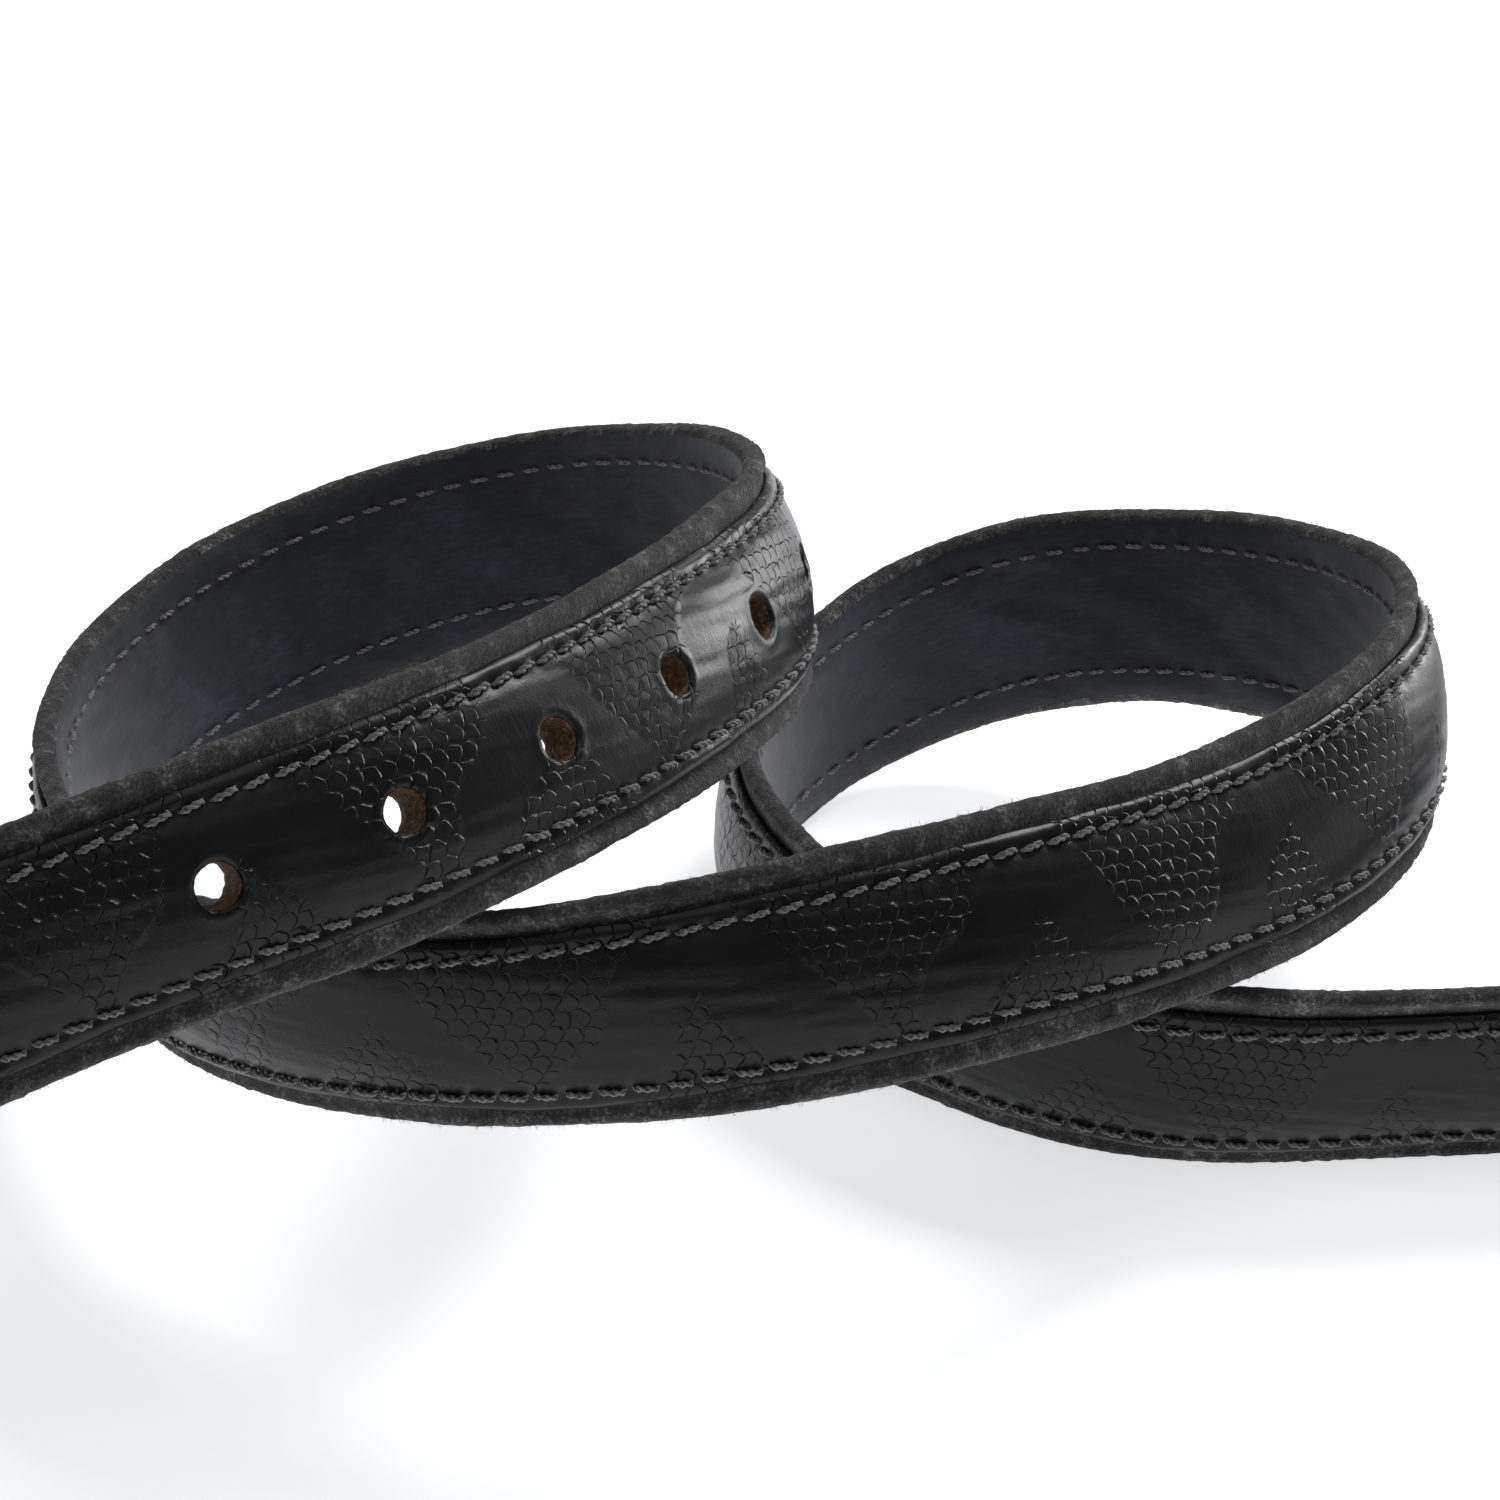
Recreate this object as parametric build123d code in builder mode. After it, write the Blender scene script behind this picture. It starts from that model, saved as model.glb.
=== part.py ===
"""One adjustable leather rein, coiled on edge: six-hole billet at one end, bolt snap at the other.

The strap is three layers of leather: a wide backing, a narrow padding core that raises the middle,
and a face strap sewn over it along both sides. +Z is up and the floor is z = 0. Millimetres.
"""

from build123d import *
import math
import os
from bisect import bisect_left
from itertools import accumulate

# ---- strap: driving dimensions
STRAP_WIDTH = 30.0
BACKING_THICKNESS = 3.0
FACE_WIDTH = 24.4
FACE_THICKNESS = 2.0
FACE_EDGE_THICKNESS = 1.4
CORE_WIDTH = 16.0
CORE_HEIGHT = 1.3
CORE_SHOULDER = 0.8
CORE_SHOULDER_AT = 6.0

# ---- billet holes
HOLE_RADIUS = 2.9
HOLE_COUNT = 6
HOLE_SPACING = 25.4
FIRST_HOLE = 83.0

# ---- stitching
STITCH_INSET = 2.4
THREAD_WIDTH = 0.9
THREAD_HEIGHT = 0.5

# ---- how each layer starts at the tip and stops before the turn-back
TIP_LENGTH = 24.0
FACE_SETBACK = 2.8
CORE_SETBACK = 16.0
CORE_RAMP = 14.0
CORE_FEATHER_RISE = 0.05
TAPER_LENGTH = 16.0
FACE_STOP = 15.0

# ---- turn-back round the snap's eye
CHAPE_WIDTH = 19.0
CHAPE_LENGTH = 58.0
RETURN_START = 8.0
LEAF_GAP = 0.2
SKIVE_LENGTH = 7.0
SKIVED_EDGE = 1.2
TEARDROP_LENGTH = 12.0
BAR_CLEARANCE = 0.25
POST_STATIONS = (28.0, 40.5)
POST_BARREL_RADIUS = 2.5
POST_HEAD_RADIUS = 4.6
POST_HEAD_THICKNESS = 1.5
SCREW_RADIUS = 1.6
SCREW_SLOT = 1.0

# ---- running keeper
KEEPER_WIDTH = 12.0
KEEPER_THICKNESS = 2.0
KEEPER_CLEARANCE = 0.35
KEEPER_STATION = 13.5

# ---- bolt snap
EYE_WIRE_RADIUS = 2.1
EYE_CLEAR_HEIGHT = 20.5
EYE_LENGTH = 13.0
EYE_CORNER = 3.0
NECK_RADIUS = 2.5
NECK_CLEARANCE = 0.06
STEM_HEAD_RADIUS = 3.6
BARREL_START = 15.7
BARREL_FLOOR = 22.3
BARREL_END = 50.0
BARREL_RADIUS = 6.2
BOLT_RADIUS = 3.75
BOLT_CLEARANCE = 0.1
BOLT_LENGTH = 20.8
BOLT_TRAVEL = 11.0
BOLT_TIP = 61.3
HOOK_WIRE_RADIUS = 2.9
HOOK_NOSE = 61.6
STUD_NECK_RADIUS = 1.5
STUD_HEAD_RADIUS = 3.3
STUD_HEAD_THICKNESS = 2.2
STUD_SETBACK = 16.2
SPRING_WIRE_RADIUS = 0.35
SPRING_RADIUS = 3.2
SPRING_PITCH = 2.9

# The strap's route, from the billet's tip to the turn-back: x, y and z of its middle, and its lean
# in degrees, which is positive where the top edge leans out of the coil. The points steer a uniform
# cubic B-spline. Each span between two of them is about 34 mm of strap.
ROUTE = [
    (-186, -183, 57, -14),
    (-154, -168, 62, -25),
    (-124, -151.5, 69, -22),
    (-94, -136.5, 76.5, -18),
    (-63.5, -119.5, 79.5, -29),
    (-39.5, -93.5, 78.5, -34),
    (-22.5, -63.5, 74.5, -30),
    (-10.5, -31, 69.5, -18),
    (-16.5, 3, 59, 1),
    (-40.5, 28, 49, 19),
    (-75.5, 31, 39.2, 25),
    (-106, 12.2, 31.8, 19),
    (-118, -22.5, 31, 11),
    (-112.5, -56.5, 32, 11),
    (-95, -87, 35.5, 13),
    (-66, -107, 42.5, 6),
    (-32, -114.5, 49, -11),
    (2.5, -107, 53.5, -28),
    (32, -88, 50.5, -33),
    (57.5, -64.5, 47, -28),
    (78.5, -35.5, 47.5, -15),
    (80.3, -0.5, 41, 1),
    (59.5, 28.5, 33.5, 13),
    (27, 46, 26, 14),
    (-6, 34.5, 17, 5),
    (-23.5, -2, 15.5, -2),
    (-16.5, -34.5, 15.5, -4),
    (6, -61.5, 15, 4),
    (39.5, -79.3, 14.95, 8),
    (74, -75, 14.75, 13),
    (109, -73, 14.9, 9),
    (137, -60, 15, 3),
    (150, -33, 15, 0),
    (150, 1, 15, 0),
    (150, 35, 15, 0),
    (150, 69, 15, 0),
]
SAMPLES_PER_SPAN = 40
SECTION_STEP = 8.5


def blend(station):
    """The route at a station, a whole number of spans plus a part of one: (x, y, z, lean)."""
    span = min(int(station), len(ROUTE) - 4)
    u = station - span
    weights = (
        (1 - u) ** 3 / 6,
        (3 * u**3 - 6 * u**2 + 4) / 6,
        (-3 * u**3 + 3 * u**2 + 3 * u + 1) / 6,
        u**3 / 6,
    )
    corners = ROUTE[span : span + 4]
    return [sum(w * p[i] for w, p in zip(weights, corners)) for i in range(4)]


SPANS = len(ROUTE) - 3
STATIONS = [i / SAMPLES_PER_SPAN for i in range(SPANS * SAMPLES_PER_SPAN + 1)]
TRACE = [Vector(*blend(station)[:3]) for station in STATIONS]
TRAVELLED = [0.0] + list(accumulate((b - a).length for a, b in zip(TRACE, TRACE[1:])))
ROUTE_LENGTH = TRAVELLED[-1]


def station_at(distance):
    """The station that is this many millimetres of strap from the tip."""
    i = min(max(bisect_left(TRAVELLED, distance), 1), len(TRAVELLED) - 1)
    share = (distance - TRAVELLED[i - 1]) / (TRAVELLED[i] - TRAVELLED[i - 1])
    return (i - 1 + share) / SAMPLES_PER_SPAN


def strap_plane(distance):
    """The strap's cross-section plane: x runs up across its width, y points out of the coil."""
    station = min(max(station_at(distance), 0.0), SPANS)
    x, y, z, lean = blend(station)
    behind = Vector(*blend(max(station - 0.001, 0.0))[:3])
    ahead = Vector(*blend(min(station + 0.001, SPANS))[:3])
    along = (ahead - behind).normalized()
    upright = (Vector(0, 0, 1) - along * along.Z).normalized()
    outward = along.cross(upright)
    across = upright * math.cos(math.radians(lean)) + outward * math.sin(math.radians(lean))
    return Plane(origin=(x, y, z), x_dir=across, z_dir=along)


def smooth(share):
    """0 to 1 with a soft start and stop."""
    share = min(max(share, 0.0), 1.0)
    return share * share * (3 - 2 * share)


def rounded_end(distance, length):
    """How wide a strap is, as a share of its full width, this far in from a rounded end."""
    share = min(max(distance / length, 0.0), 1.0)
    return math.sqrt(max(1 - (1 - share) ** 2, 0.0))


def cross_sections(outline, start, stop):
    """The faces that a layer is lofted through. outline(distance) gives its corners there."""
    faces = []
    for distance in [start] + [cut for cut in CUTS if start < cut < stop] + [stop]:
        with BuildSketch(strap_plane(distance)) as section:
            Polygon(*outline(distance), align=None)
        faces.append(section.sketch)
    return faces


def hole_sketches():
    """A circle for each billet hole, on the strap's middle line and facing out of the coil."""
    circles = []
    for i in range(HOLE_COUNT):
        strap = strap_plane(FIRST_HOLE + i * HOLE_SPACING)
        with BuildSketch(Plane(origin=strap.origin, x_dir=strap.z_dir, z_dir=strap.y_dir)) as circle:
            Circle(HOLE_RADIUS)
        circles.append(circle.sketch)
    return circles


HOLES = hole_sketches()
PUNCH_DEPTH = 8.0
TAPER_START = ROUTE_LENGTH - TAPER_LENGTH
FACE_END = ROUTE_LENGTH - FACE_STOP

# Each layer starts and stops a little way in from the tip and from the face strap's end.
TIP_BLUNT = 0.4
FACE_TIP = FACE_SETBACK + TIP_BLUNT
ROW_INSET = 2.0
CORE_TIP = CORE_SETBACK + 1.5
EARLY_CUTS = [TIP_BLUNT, 1.2, 2.2, FACE_TIP, 3.9, FACE_SETBACK + ROW_INSET, 6, 8, 11, 14, CORE_TIP]
LATE_CUTS = [FACE_END - d for d in (0.4, 1.0, 2.0, 3.2, 5, 8, 11, CORE_TIP)]

# All layers are cut at the same distances, so that they share their faces exactly.
STEADY_START = 20.0
STEADY_COUNT = math.ceil((FACE_END - 2 * STEADY_START) / SECTION_STEP)
STEADY_STEP = (FACE_END - 2 * STEADY_START) / STEADY_COUNT
STEADY_CUTS = [STEADY_START + i * STEADY_STEP for i in range(STEADY_COUNT + 1)]
TAPER_CUTS = [FACE_END + (ROUTE_LENGTH - FACE_END) * i / 6 for i in range(1, 6)]
BILLET_LENGTH = STEADY_CUTS[26]
CUTS = sorted(EARLY_CUTS + STEADY_CUTS + LATE_CUTS + TAPER_CUTS)


# ---- backing: the wide, rough leather under everything
def backing_half_width(distance):
    full = STRAP_WIDTH / 2
    tip = full * rounded_end(distance, TIP_LENGTH)
    taper = (full - CHAPE_WIDTH / 2) * smooth((distance - TAPER_START) / TAPER_LENGTH)
    return tip - taper


def backing_outline(distance):
    half = backing_half_width(distance)
    return [(-half, -BACKING_THICKNESS), (half, -BACKING_THICKNESS), (half, 0), (-half, 0)]


with BuildPart() as billet_backing:
    loft(cross_sections(backing_outline, TIP_BLUNT, BILLET_LENGTH), ruled=True, clean=False)
    for hole in HOLES:
        extrude(hole, amount=PUNCH_DEPTH, both=True, mode=Mode.SUBTRACT)

# ---- turn-back: the backing narrows, goes round the snap's bar and lies back against itself
END_X, END_Y, END_Z = ROUTE[-2][:3]
BAR_X = END_X - BACKING_THICKNESS
BAR_Y = END_Y + CHAPE_LENGTH
LOOP_RADIUS = EYE_WIRE_RADIUS + BAR_CLEARANCE
TEARDROP_TIP = BAR_Y - TEARDROP_LENGTH
RETURN_Y = END_Y + RETURN_START
CHAPE_PLANE = Plane.XY.offset(END_Z - CHAPE_WIDTH / 2)
POST_PLANES = [
    Plane(origin=(END_X, END_Y + station, END_Z), x_dir=(0, 1, 0), z_dir=(1, 0, 0))
    for station in POST_STATIONS
]

with BuildPart() as rein_backing:
    loft(cross_sections(backing_outline, BILLET_LENGTH, ROUTE_LENGTH), ruled=True, clean=False)
    with BuildSketch(CHAPE_PLANE) as loop_outside:
        with Locations((BAR_X, BAR_Y)):
            Circle(LOOP_RADIUS + BACKING_THICKNESS)
        with Locations((BAR_X, TEARDROP_TIP)):
            Circle(BACKING_THICKNESS)
        make_hull()
        # the outer leaf, straight on from the strap, and the returned leaf with its skived end
        Polygon(
            (END_X, END_Y),
            (END_X, TEARDROP_TIP),
            (BAR_X - BACKING_THICKNESS, TEARDROP_TIP),
            (BAR_X - BACKING_THICKNESS, RETURN_Y + SKIVE_LENGTH),
            (BAR_X - SKIVED_EDGE, RETURN_Y),
            (BAR_X, RETURN_Y),
            (BAR_X, END_Y),
            align=None,
        )
        with Locations((BAR_X, (RETURN_Y + TEARDROP_TIP) / 2)):
            Rectangle(LEAF_GAP, TEARDROP_TIP - RETURN_Y, mode=Mode.SUBTRACT)
    extrude(amount=CHAPE_WIDTH)
    with BuildSketch(CHAPE_PLANE) as loop_inside:
        with Locations((BAR_X, BAR_Y)):
            Circle(LOOP_RADIUS)
        with Locations((BAR_X, TEARDROP_TIP)):
            Circle(LEAF_GAP / 2)
        make_hull()
    extrude(amount=CHAPE_WIDTH, mode=Mode.SUBTRACT)
    for plane in POST_PLANES:
        with BuildSketch(plane):
            Circle(POST_BARREL_RADIUS)
    extrude(amount=3 * BACKING_THICKNESS, both=True, mode=Mode.SUBTRACT)


# ---- padding core: a domed strip that raises the middle of the face
def core_rise(distance):
    ramp_in = smooth((distance - CORE_SETBACK) / CORE_RAMP)
    ramp_out = smooth((FACE_END - CORE_SETBACK - distance) / CORE_RAMP)
    return max(min(ramp_in, ramp_out), CORE_FEATHER_RISE)


def face_half_width(distance):
    half = FACE_WIDTH / 2
    tip = rounded_end(distance - FACE_SETBACK, TIP_LENGTH - FACE_SETBACK)
    stop = rounded_end(FACE_END - distance, TIP_LENGTH - FACE_SETBACK)
    return half * min(tip, stop)


def narrowing(distance):
    """How far the face and the core have drawn in towards a rounded end, 1 where they haven't."""
    return face_half_width(distance) / (FACE_WIDTH / 2)


def core_top(distance):
    """The dome's corners, from one side of the strap to the other."""
    rise = core_rise(distance)
    shoulder = CORE_SHOULDER_AT * narrowing(distance)
    return [
        (-shoulder, CORE_SHOULDER * rise),
        (0, CORE_HEIGHT * rise),
        (shoulder, CORE_SHOULDER * rise),
    ]


def core_outline(distance):
    edge = CORE_WIDTH / 2 * narrowing(distance)
    return [(-edge, 0)] + core_top(distance) + [(edge, 0)]


with BuildPart() as padding_core:
    loft(cross_sections(core_outline, CORE_TIP, FACE_END - CORE_TIP), ruled=True, clean=False)
    for hole in HOLES:
        extrude(hole, amount=PUNCH_DEPTH, both=True, mode=Mode.SUBTRACT)


# ---- face strap: smooth leather, draped over the core
def face_outline(distance):
    half = face_half_width(distance)
    edge = CORE_WIDTH / 2 * narrowing(distance)
    under = core_top(distance)
    over = [(across, out + FACE_THICKNESS) for across, out in reversed(under)]
    return (
        [(-half, 0), (-edge, 0)]
        + under
        + [(edge, 0), (half, 0), (half, FACE_EDGE_THICKNESS)]
        + over
        + [(-half, FACE_EDGE_THICKNESS)]
    )


with BuildPart() as face_strap:
    loft(cross_sections(face_outline, FACE_TIP, FACE_END - TIP_BLUNT), ruled=True, clean=False)
    for hole in HOLES:
        extrude(hole, amount=PUNCH_DEPTH, both=True, mode=Mode.SUBTRACT)


# ---- stitching: two rows through all the layers, one thread on the face and one on the back
def face_surface(distance, across):
    """How far the face's outside stands out of the backing, this far across the strap."""
    half = face_half_width(distance)
    shoulder = CORE_SHOULDER_AT * narrowing(distance)
    shoulder_out = CORE_SHOULDER * core_rise(distance) + FACE_THICKNESS
    share = (half - abs(across)) / (half - shoulder)
    return FACE_EDGE_THICKNESS + (shoulder_out - FACE_EDGE_THICKNESS) * share


def face_thread_outline(side):
    def outline(distance):
        middle = face_half_width(distance) - STITCH_INSET
        inner = side * (middle - THREAD_WIDTH / 2)
        outer = side * (middle + THREAD_WIDTH / 2)
        inner_out = face_surface(distance, inner)
        outer_out = face_surface(distance, outer)
        top = inner_out + THREAD_HEIGHT
        return [(inner, inner_out), (outer, outer_out), (outer, top - 0.1), (inner, top)]

    return outline


def back_thread_outline(side):
    def outline(distance):
        middle = face_half_width(distance) - STITCH_INSET
        inner = side * (middle - THREAD_WIDTH / 2)
        outer = side * (middle + THREAD_WIDTH / 2)
        back = -BACKING_THICKNESS
        return [(inner, back), (outer, back), (outer, back - THREAD_HEIGHT), (inner, back - THREAD_HEIGHT)]

    return outline


ROW_START = FACE_SETBACK + ROW_INSET
ROW_END = FACE_END - ROW_INSET
with BuildPart() as face_stitch_upper:
    loft(cross_sections(face_thread_outline(1), ROW_START, ROW_END), ruled=True, clean=False)
with BuildPart() as face_stitch_lower:
    loft(cross_sections(face_thread_outline(-1), ROW_START, ROW_END), ruled=True, clean=False)
with BuildPart() as back_stitch_upper:
    loft(cross_sections(back_thread_outline(1), ROW_START, ROW_END), ruled=True, clean=False)
with BuildPart() as back_stitch_lower:
    loft(cross_sections(back_thread_outline(-1), ROW_START, ROW_END), ruled=True, clean=False)

# ---- binding posts and their screws, which hold the turn-back shut
DOUBLED = 2 * BACKING_THICKNESS
SCREW_DEPTH = DOUBLED - 0.6
with BuildPart() as binding_posts:
    for plane in POST_PLANES:
        with BuildSketch(plane):
            Circle(POST_HEAD_RADIUS)
    extrude(amount=POST_HEAD_THICKNESS)
    fillet(binding_posts.faces().filter_by(Axis.X).sort_by(Axis.X)[-2:].edges(), 0.6)
    for plane in POST_PLANES:
        with BuildSketch(plane):
            Circle(POST_BARREL_RADIUS)
            Circle(SCREW_RADIUS, mode=Mode.SUBTRACT)
    extrude(amount=-DOUBLED)

with BuildPart() as binding_screws:
    for plane in POST_PLANES:
        with BuildSketch(plane.offset(-DOUBLED)):
            Circle(POST_HEAD_RADIUS)
    extrude(amount=-POST_HEAD_THICKNESS)
    fillet(binding_screws.faces().filter_by(Axis.X).sort_by(Axis.X)[:2].edges(), 0.6)
    for plane in POST_PLANES:
        with BuildSketch(plane.offset(-DOUBLED)):
            Circle(SCREW_RADIUS)
    extrude(amount=SCREW_DEPTH)
    for plane in POST_PLANES:
        with BuildSketch(plane.offset(-DOUBLED - POST_HEAD_THICKNESS)):
            Rectangle(SCREW_SLOT, 3 * POST_HEAD_RADIUS)
    extrude(amount=0.8, mode=Mode.SUBTRACT)

# ---- running keeper: a leather band that slides over the turn-back's end
KEEPER_Y = END_Y + KEEPER_STATION
KEEPER_PLANE = Plane(origin=(BAR_X, KEEPER_Y, END_Z), x_dir=(1, 0, 0), z_dir=(0, -1, 0))
KEEPER_INSIDE = (DOUBLED + 2 * KEEPER_CLEARANCE, CHAPE_WIDTH + 2 * KEEPER_CLEARANCE)
KEEPER_OUTSIDE = tuple(side + 2 * KEEPER_THICKNESS for side in KEEPER_INSIDE)
with BuildPart() as running_keeper:
    with BuildSketch(KEEPER_PLANE):
        RectangleRounded(*KEEPER_OUTSIDE, KEEPER_THICKNESS)
        Rectangle(*KEEPER_INSIDE, mode=Mode.SUBTRACT)
    extrude(amount=KEEPER_WIDTH / 2, both=True)

KEEPER_BACK = Plane(
    origin=(BAR_X - KEEPER_OUTSIDE[0] / 2, KEEPER_Y, END_Z), x_dir=(0, 1, 0), z_dir=(-1, 0, 0)
)
KEEPER_STITCH_LENGTH = 3.0
KEEPER_STITCH_SPACING = 4.2
with BuildPart() as keeper_stitches:
    with BuildSketch(KEEPER_BACK):
        with GridLocations(KEEPER_WIDTH - 2 * STITCH_INSET, KEEPER_STITCH_SPACING, 2, 3):
            Rectangle(THREAD_WIDTH, KEEPER_STITCH_LENGTH)
    extrude(amount=THREAD_HEIGHT)

# ---- bolt snap. Its own frame: x along the snap from the eye's bar, y towards the hook's back
SNAP = Plane(origin=(BAR_X, BAR_Y, END_Z), x_dir=(0, 1, 0), z_dir=(0, 0, 1))
SNAP_SIDE = Plane(origin=SNAP.origin, x_dir=SNAP.x_dir, z_dir=-SNAP.y_dir)
SNAP_END = Plane(origin=SNAP.origin, x_dir=SNAP.y_dir, z_dir=SNAP.x_dir)
EYE_HALF_HEIGHT = EYE_CLEAR_HEIGHT / 2 + EYE_WIRE_RADIUS
PAD_RADIUS = 4.0
PAD_START = EYE_LENGTH - 1.5
PAD_END = BARREL_START - 0.2
STEM_HEAD = (BARREL_FLOOR + 0.2, BARREL_FLOOR + 2.2)

with BuildPart() as snap_eye:
    with BuildLine(SNAP_SIDE):
        FilletPolyline(
            (0, 0),
            (0, EYE_HALF_HEIGHT),
            (EYE_LENGTH, EYE_HALF_HEIGHT),
            (EYE_LENGTH, 0),
            radius=EYE_CORNER,
        )
    with BuildSketch(SNAP):
        Circle(EYE_WIRE_RADIUS)
    sweep()
    mirror(about=SNAP)
    with BuildSketch(SNAP_END.offset(PAD_START)):
        Circle(PAD_RADIUS)
    extrude(amount=PAD_END - PAD_START)
    with BuildSketch(SNAP_END.offset(PAD_END)):
        Circle(NECK_RADIUS)
    extrude(amount=STEM_HEAD[0] - PAD_END)
    with BuildSketch(SNAP_END.offset(STEM_HEAD[0])):
        Circle(STEM_HEAD_RADIUS)
    extrude(amount=STEM_HEAD[1] - STEM_HEAD[0])

BORE_RADIUS = BOLT_RADIUS + BOLT_CLEARANCE
HOOK_PATH = [(43.0, 5.6), (53.0, 15.0), (73.0, 15.0), (73.0, 0.0), (HOOK_NOSE, 0.0)]
HOOK_BEND = 6.5
STUD_AT = BOLT_TIP - STUD_SETBACK
SLOT_START = STUD_AT - BOLT_TRAVEL - STUD_NECK_RADIUS - 0.2
SLOT_END = STUD_AT + STUD_NECK_RADIUS + 0.2
SLOT_WIDTH = 2 * STUD_NECK_RADIUS + 0.4

with BuildPart() as snap_hook:
    with BuildLine(SNAP):
        hook_line = FilletPolyline(*HOOK_PATH, radius=HOOK_BEND)
    with BuildSketch(Plane(origin=hook_line @ 0, z_dir=hook_line % 0)):
        Circle(HOOK_WIRE_RADIUS)
    sweep()
    with BuildSketch(SNAP_END.offset(BARREL_START)):
        Circle(BARREL_RADIUS)
    extrude(amount=BARREL_END - BARREL_START)
    with BuildSketch(SNAP_END.offset(BARREL_START)):
        Circle(NECK_RADIUS + NECK_CLEARANCE)
    extrude(amount=BARREL_END - BARREL_START, mode=Mode.SUBTRACT)
    with BuildSketch(SNAP_END.offset(BARREL_FLOOR)):
        Circle(BORE_RADIUS)
    extrude(amount=BOLT_TIP - BARREL_FLOOR, mode=Mode.SUBTRACT)
    # the thumb stud's slot, on the side away from the hook's back
    with BuildSketch(SNAP_SIDE):
        with Locations(((SLOT_START + SLOT_END) / 2, 0)):
            SlotOverall(SLOT_END - SLOT_START, SLOT_WIDTH)
    extrude(amount=2 * BARREL_RADIUS, mode=Mode.SUBTRACT)

with BuildPart() as snap_bolt:
    with BuildSketch(SNAP_END.offset(BOLT_TIP - BOLT_LENGTH)):
        Circle(BOLT_RADIUS)
    extrude(amount=BOLT_LENGTH)
    fillet(snap_bolt.edges().sort_by(Axis.Y)[-1:], 1.4)
    with BuildSketch(SNAP_SIDE.offset(BOLT_RADIUS - 2.2)):
        with Locations((STUD_AT, 0)):
            Circle(STUD_NECK_RADIUS)
    extrude(amount=4, mode=Mode.SUBTRACT)

STUD_NECK_TOP = BARREL_RADIUS + 0.6
with BuildPart() as thumb_stud:
    with BuildSketch(SNAP_SIDE.offset(BOLT_RADIUS - 2.2)):
        with Locations((STUD_AT, 0)):
            Circle(STUD_NECK_RADIUS)
    extrude(amount=STUD_NECK_TOP - BOLT_RADIUS + 2.2)
    with BuildSketch(SNAP_SIDE.offset(STUD_NECK_TOP)):
        with Locations((STUD_AT, 0)):
            Circle(STUD_HEAD_RADIUS)
    extrude(amount=STUD_HEAD_THICKNESS)
    fillet(thumb_stud.edges().sort_by(Axis.X)[-1:], 0.8)

SPRING_START = STEM_HEAD[1] + SPRING_WIRE_RADIUS + 0.1
SPRING_END = BOLT_TIP - BOLT_LENGTH - SPRING_WIRE_RADIUS - 0.1
with BuildPart() as bolt_spring:
    with BuildLine():
        coil = Helix(
            SPRING_PITCH,
            SPRING_END - SPRING_START,
            SPRING_RADIUS,
            center=SNAP_END.offset(SPRING_START).origin,
            direction=SNAP_END.z_dir,
        )
    with BuildSketch(Plane(origin=coil @ 0, z_dir=coil % 0)):
        Circle(SPRING_WIRE_RADIUS)
    sweep(is_frenet=True)

PIECES = {
    "billet_backing": billet_backing,
    "rein_backing": rein_backing,
    "padding_core": padding_core,
    "face_strap": face_strap,
    "face_stitch_upper": face_stitch_upper,
    "face_stitch_lower": face_stitch_lower,
    "back_stitch_upper": back_stitch_upper,
    "back_stitch_lower": back_stitch_lower,
    "binding_posts": binding_posts,
    "binding_screws": binding_screws,
    "running_keeper": running_keeper,
    "keeper_stitches": keeper_stitches,
    "snap_eye": snap_eye,
    "snap_hook": snap_hook,
    "snap_bolt": snap_bolt,
    "thumb_stud": thumb_stud,
    "bolt_spring": bolt_spring,
}

os.makedirs("parts", exist_ok=True)
for name, piece in PIECES.items():
    piece.part.label = name
    export_step(piece.part, f"parts/{name}.step")
    print(name, round(piece.part.volume), piece.part.bounding_box())
print("strap length tip to turn-back", round(ROUTE_LENGTH + CHAPE_LENGTH))
for i in range(HOLE_COUNT):
    strap = strap_plane(FIRST_HOLE + i * HOLE_SPACING)
    print("hole", i + 1, strap.origin, strap.y_dir)
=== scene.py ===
# %% [markdown]
# # A padded leather rein, coiled on edge
#
# This lesson builds a black leather rein as a saddler would think of it: a wide rough backing, a narrow
# embossed face strap sewn on top, two rows of waxed thread, punched billet holes, and at the far end a
# turn-back that holds a swivel bolt snap. Every piece follows one route, so the lesson starts with the
# frame (the measured model that the pieces must agree with) and with that route.

import math

import bmesh
import bpy
import numpy as np
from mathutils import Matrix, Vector


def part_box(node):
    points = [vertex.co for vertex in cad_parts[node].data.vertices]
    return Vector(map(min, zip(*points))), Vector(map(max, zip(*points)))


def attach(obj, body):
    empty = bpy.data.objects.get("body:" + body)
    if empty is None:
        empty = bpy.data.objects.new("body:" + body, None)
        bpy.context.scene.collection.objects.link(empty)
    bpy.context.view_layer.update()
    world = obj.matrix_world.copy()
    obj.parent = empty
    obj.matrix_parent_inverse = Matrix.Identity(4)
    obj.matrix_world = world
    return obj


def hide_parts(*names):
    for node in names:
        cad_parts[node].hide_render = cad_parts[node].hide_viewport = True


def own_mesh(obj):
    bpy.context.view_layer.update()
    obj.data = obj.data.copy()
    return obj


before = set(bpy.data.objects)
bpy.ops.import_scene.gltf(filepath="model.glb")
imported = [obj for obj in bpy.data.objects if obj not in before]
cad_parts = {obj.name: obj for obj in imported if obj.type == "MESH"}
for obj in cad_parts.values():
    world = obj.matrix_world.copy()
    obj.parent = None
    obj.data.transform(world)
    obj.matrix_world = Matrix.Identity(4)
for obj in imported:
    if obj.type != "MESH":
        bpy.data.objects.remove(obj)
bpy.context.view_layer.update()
MM = 0.001

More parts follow.
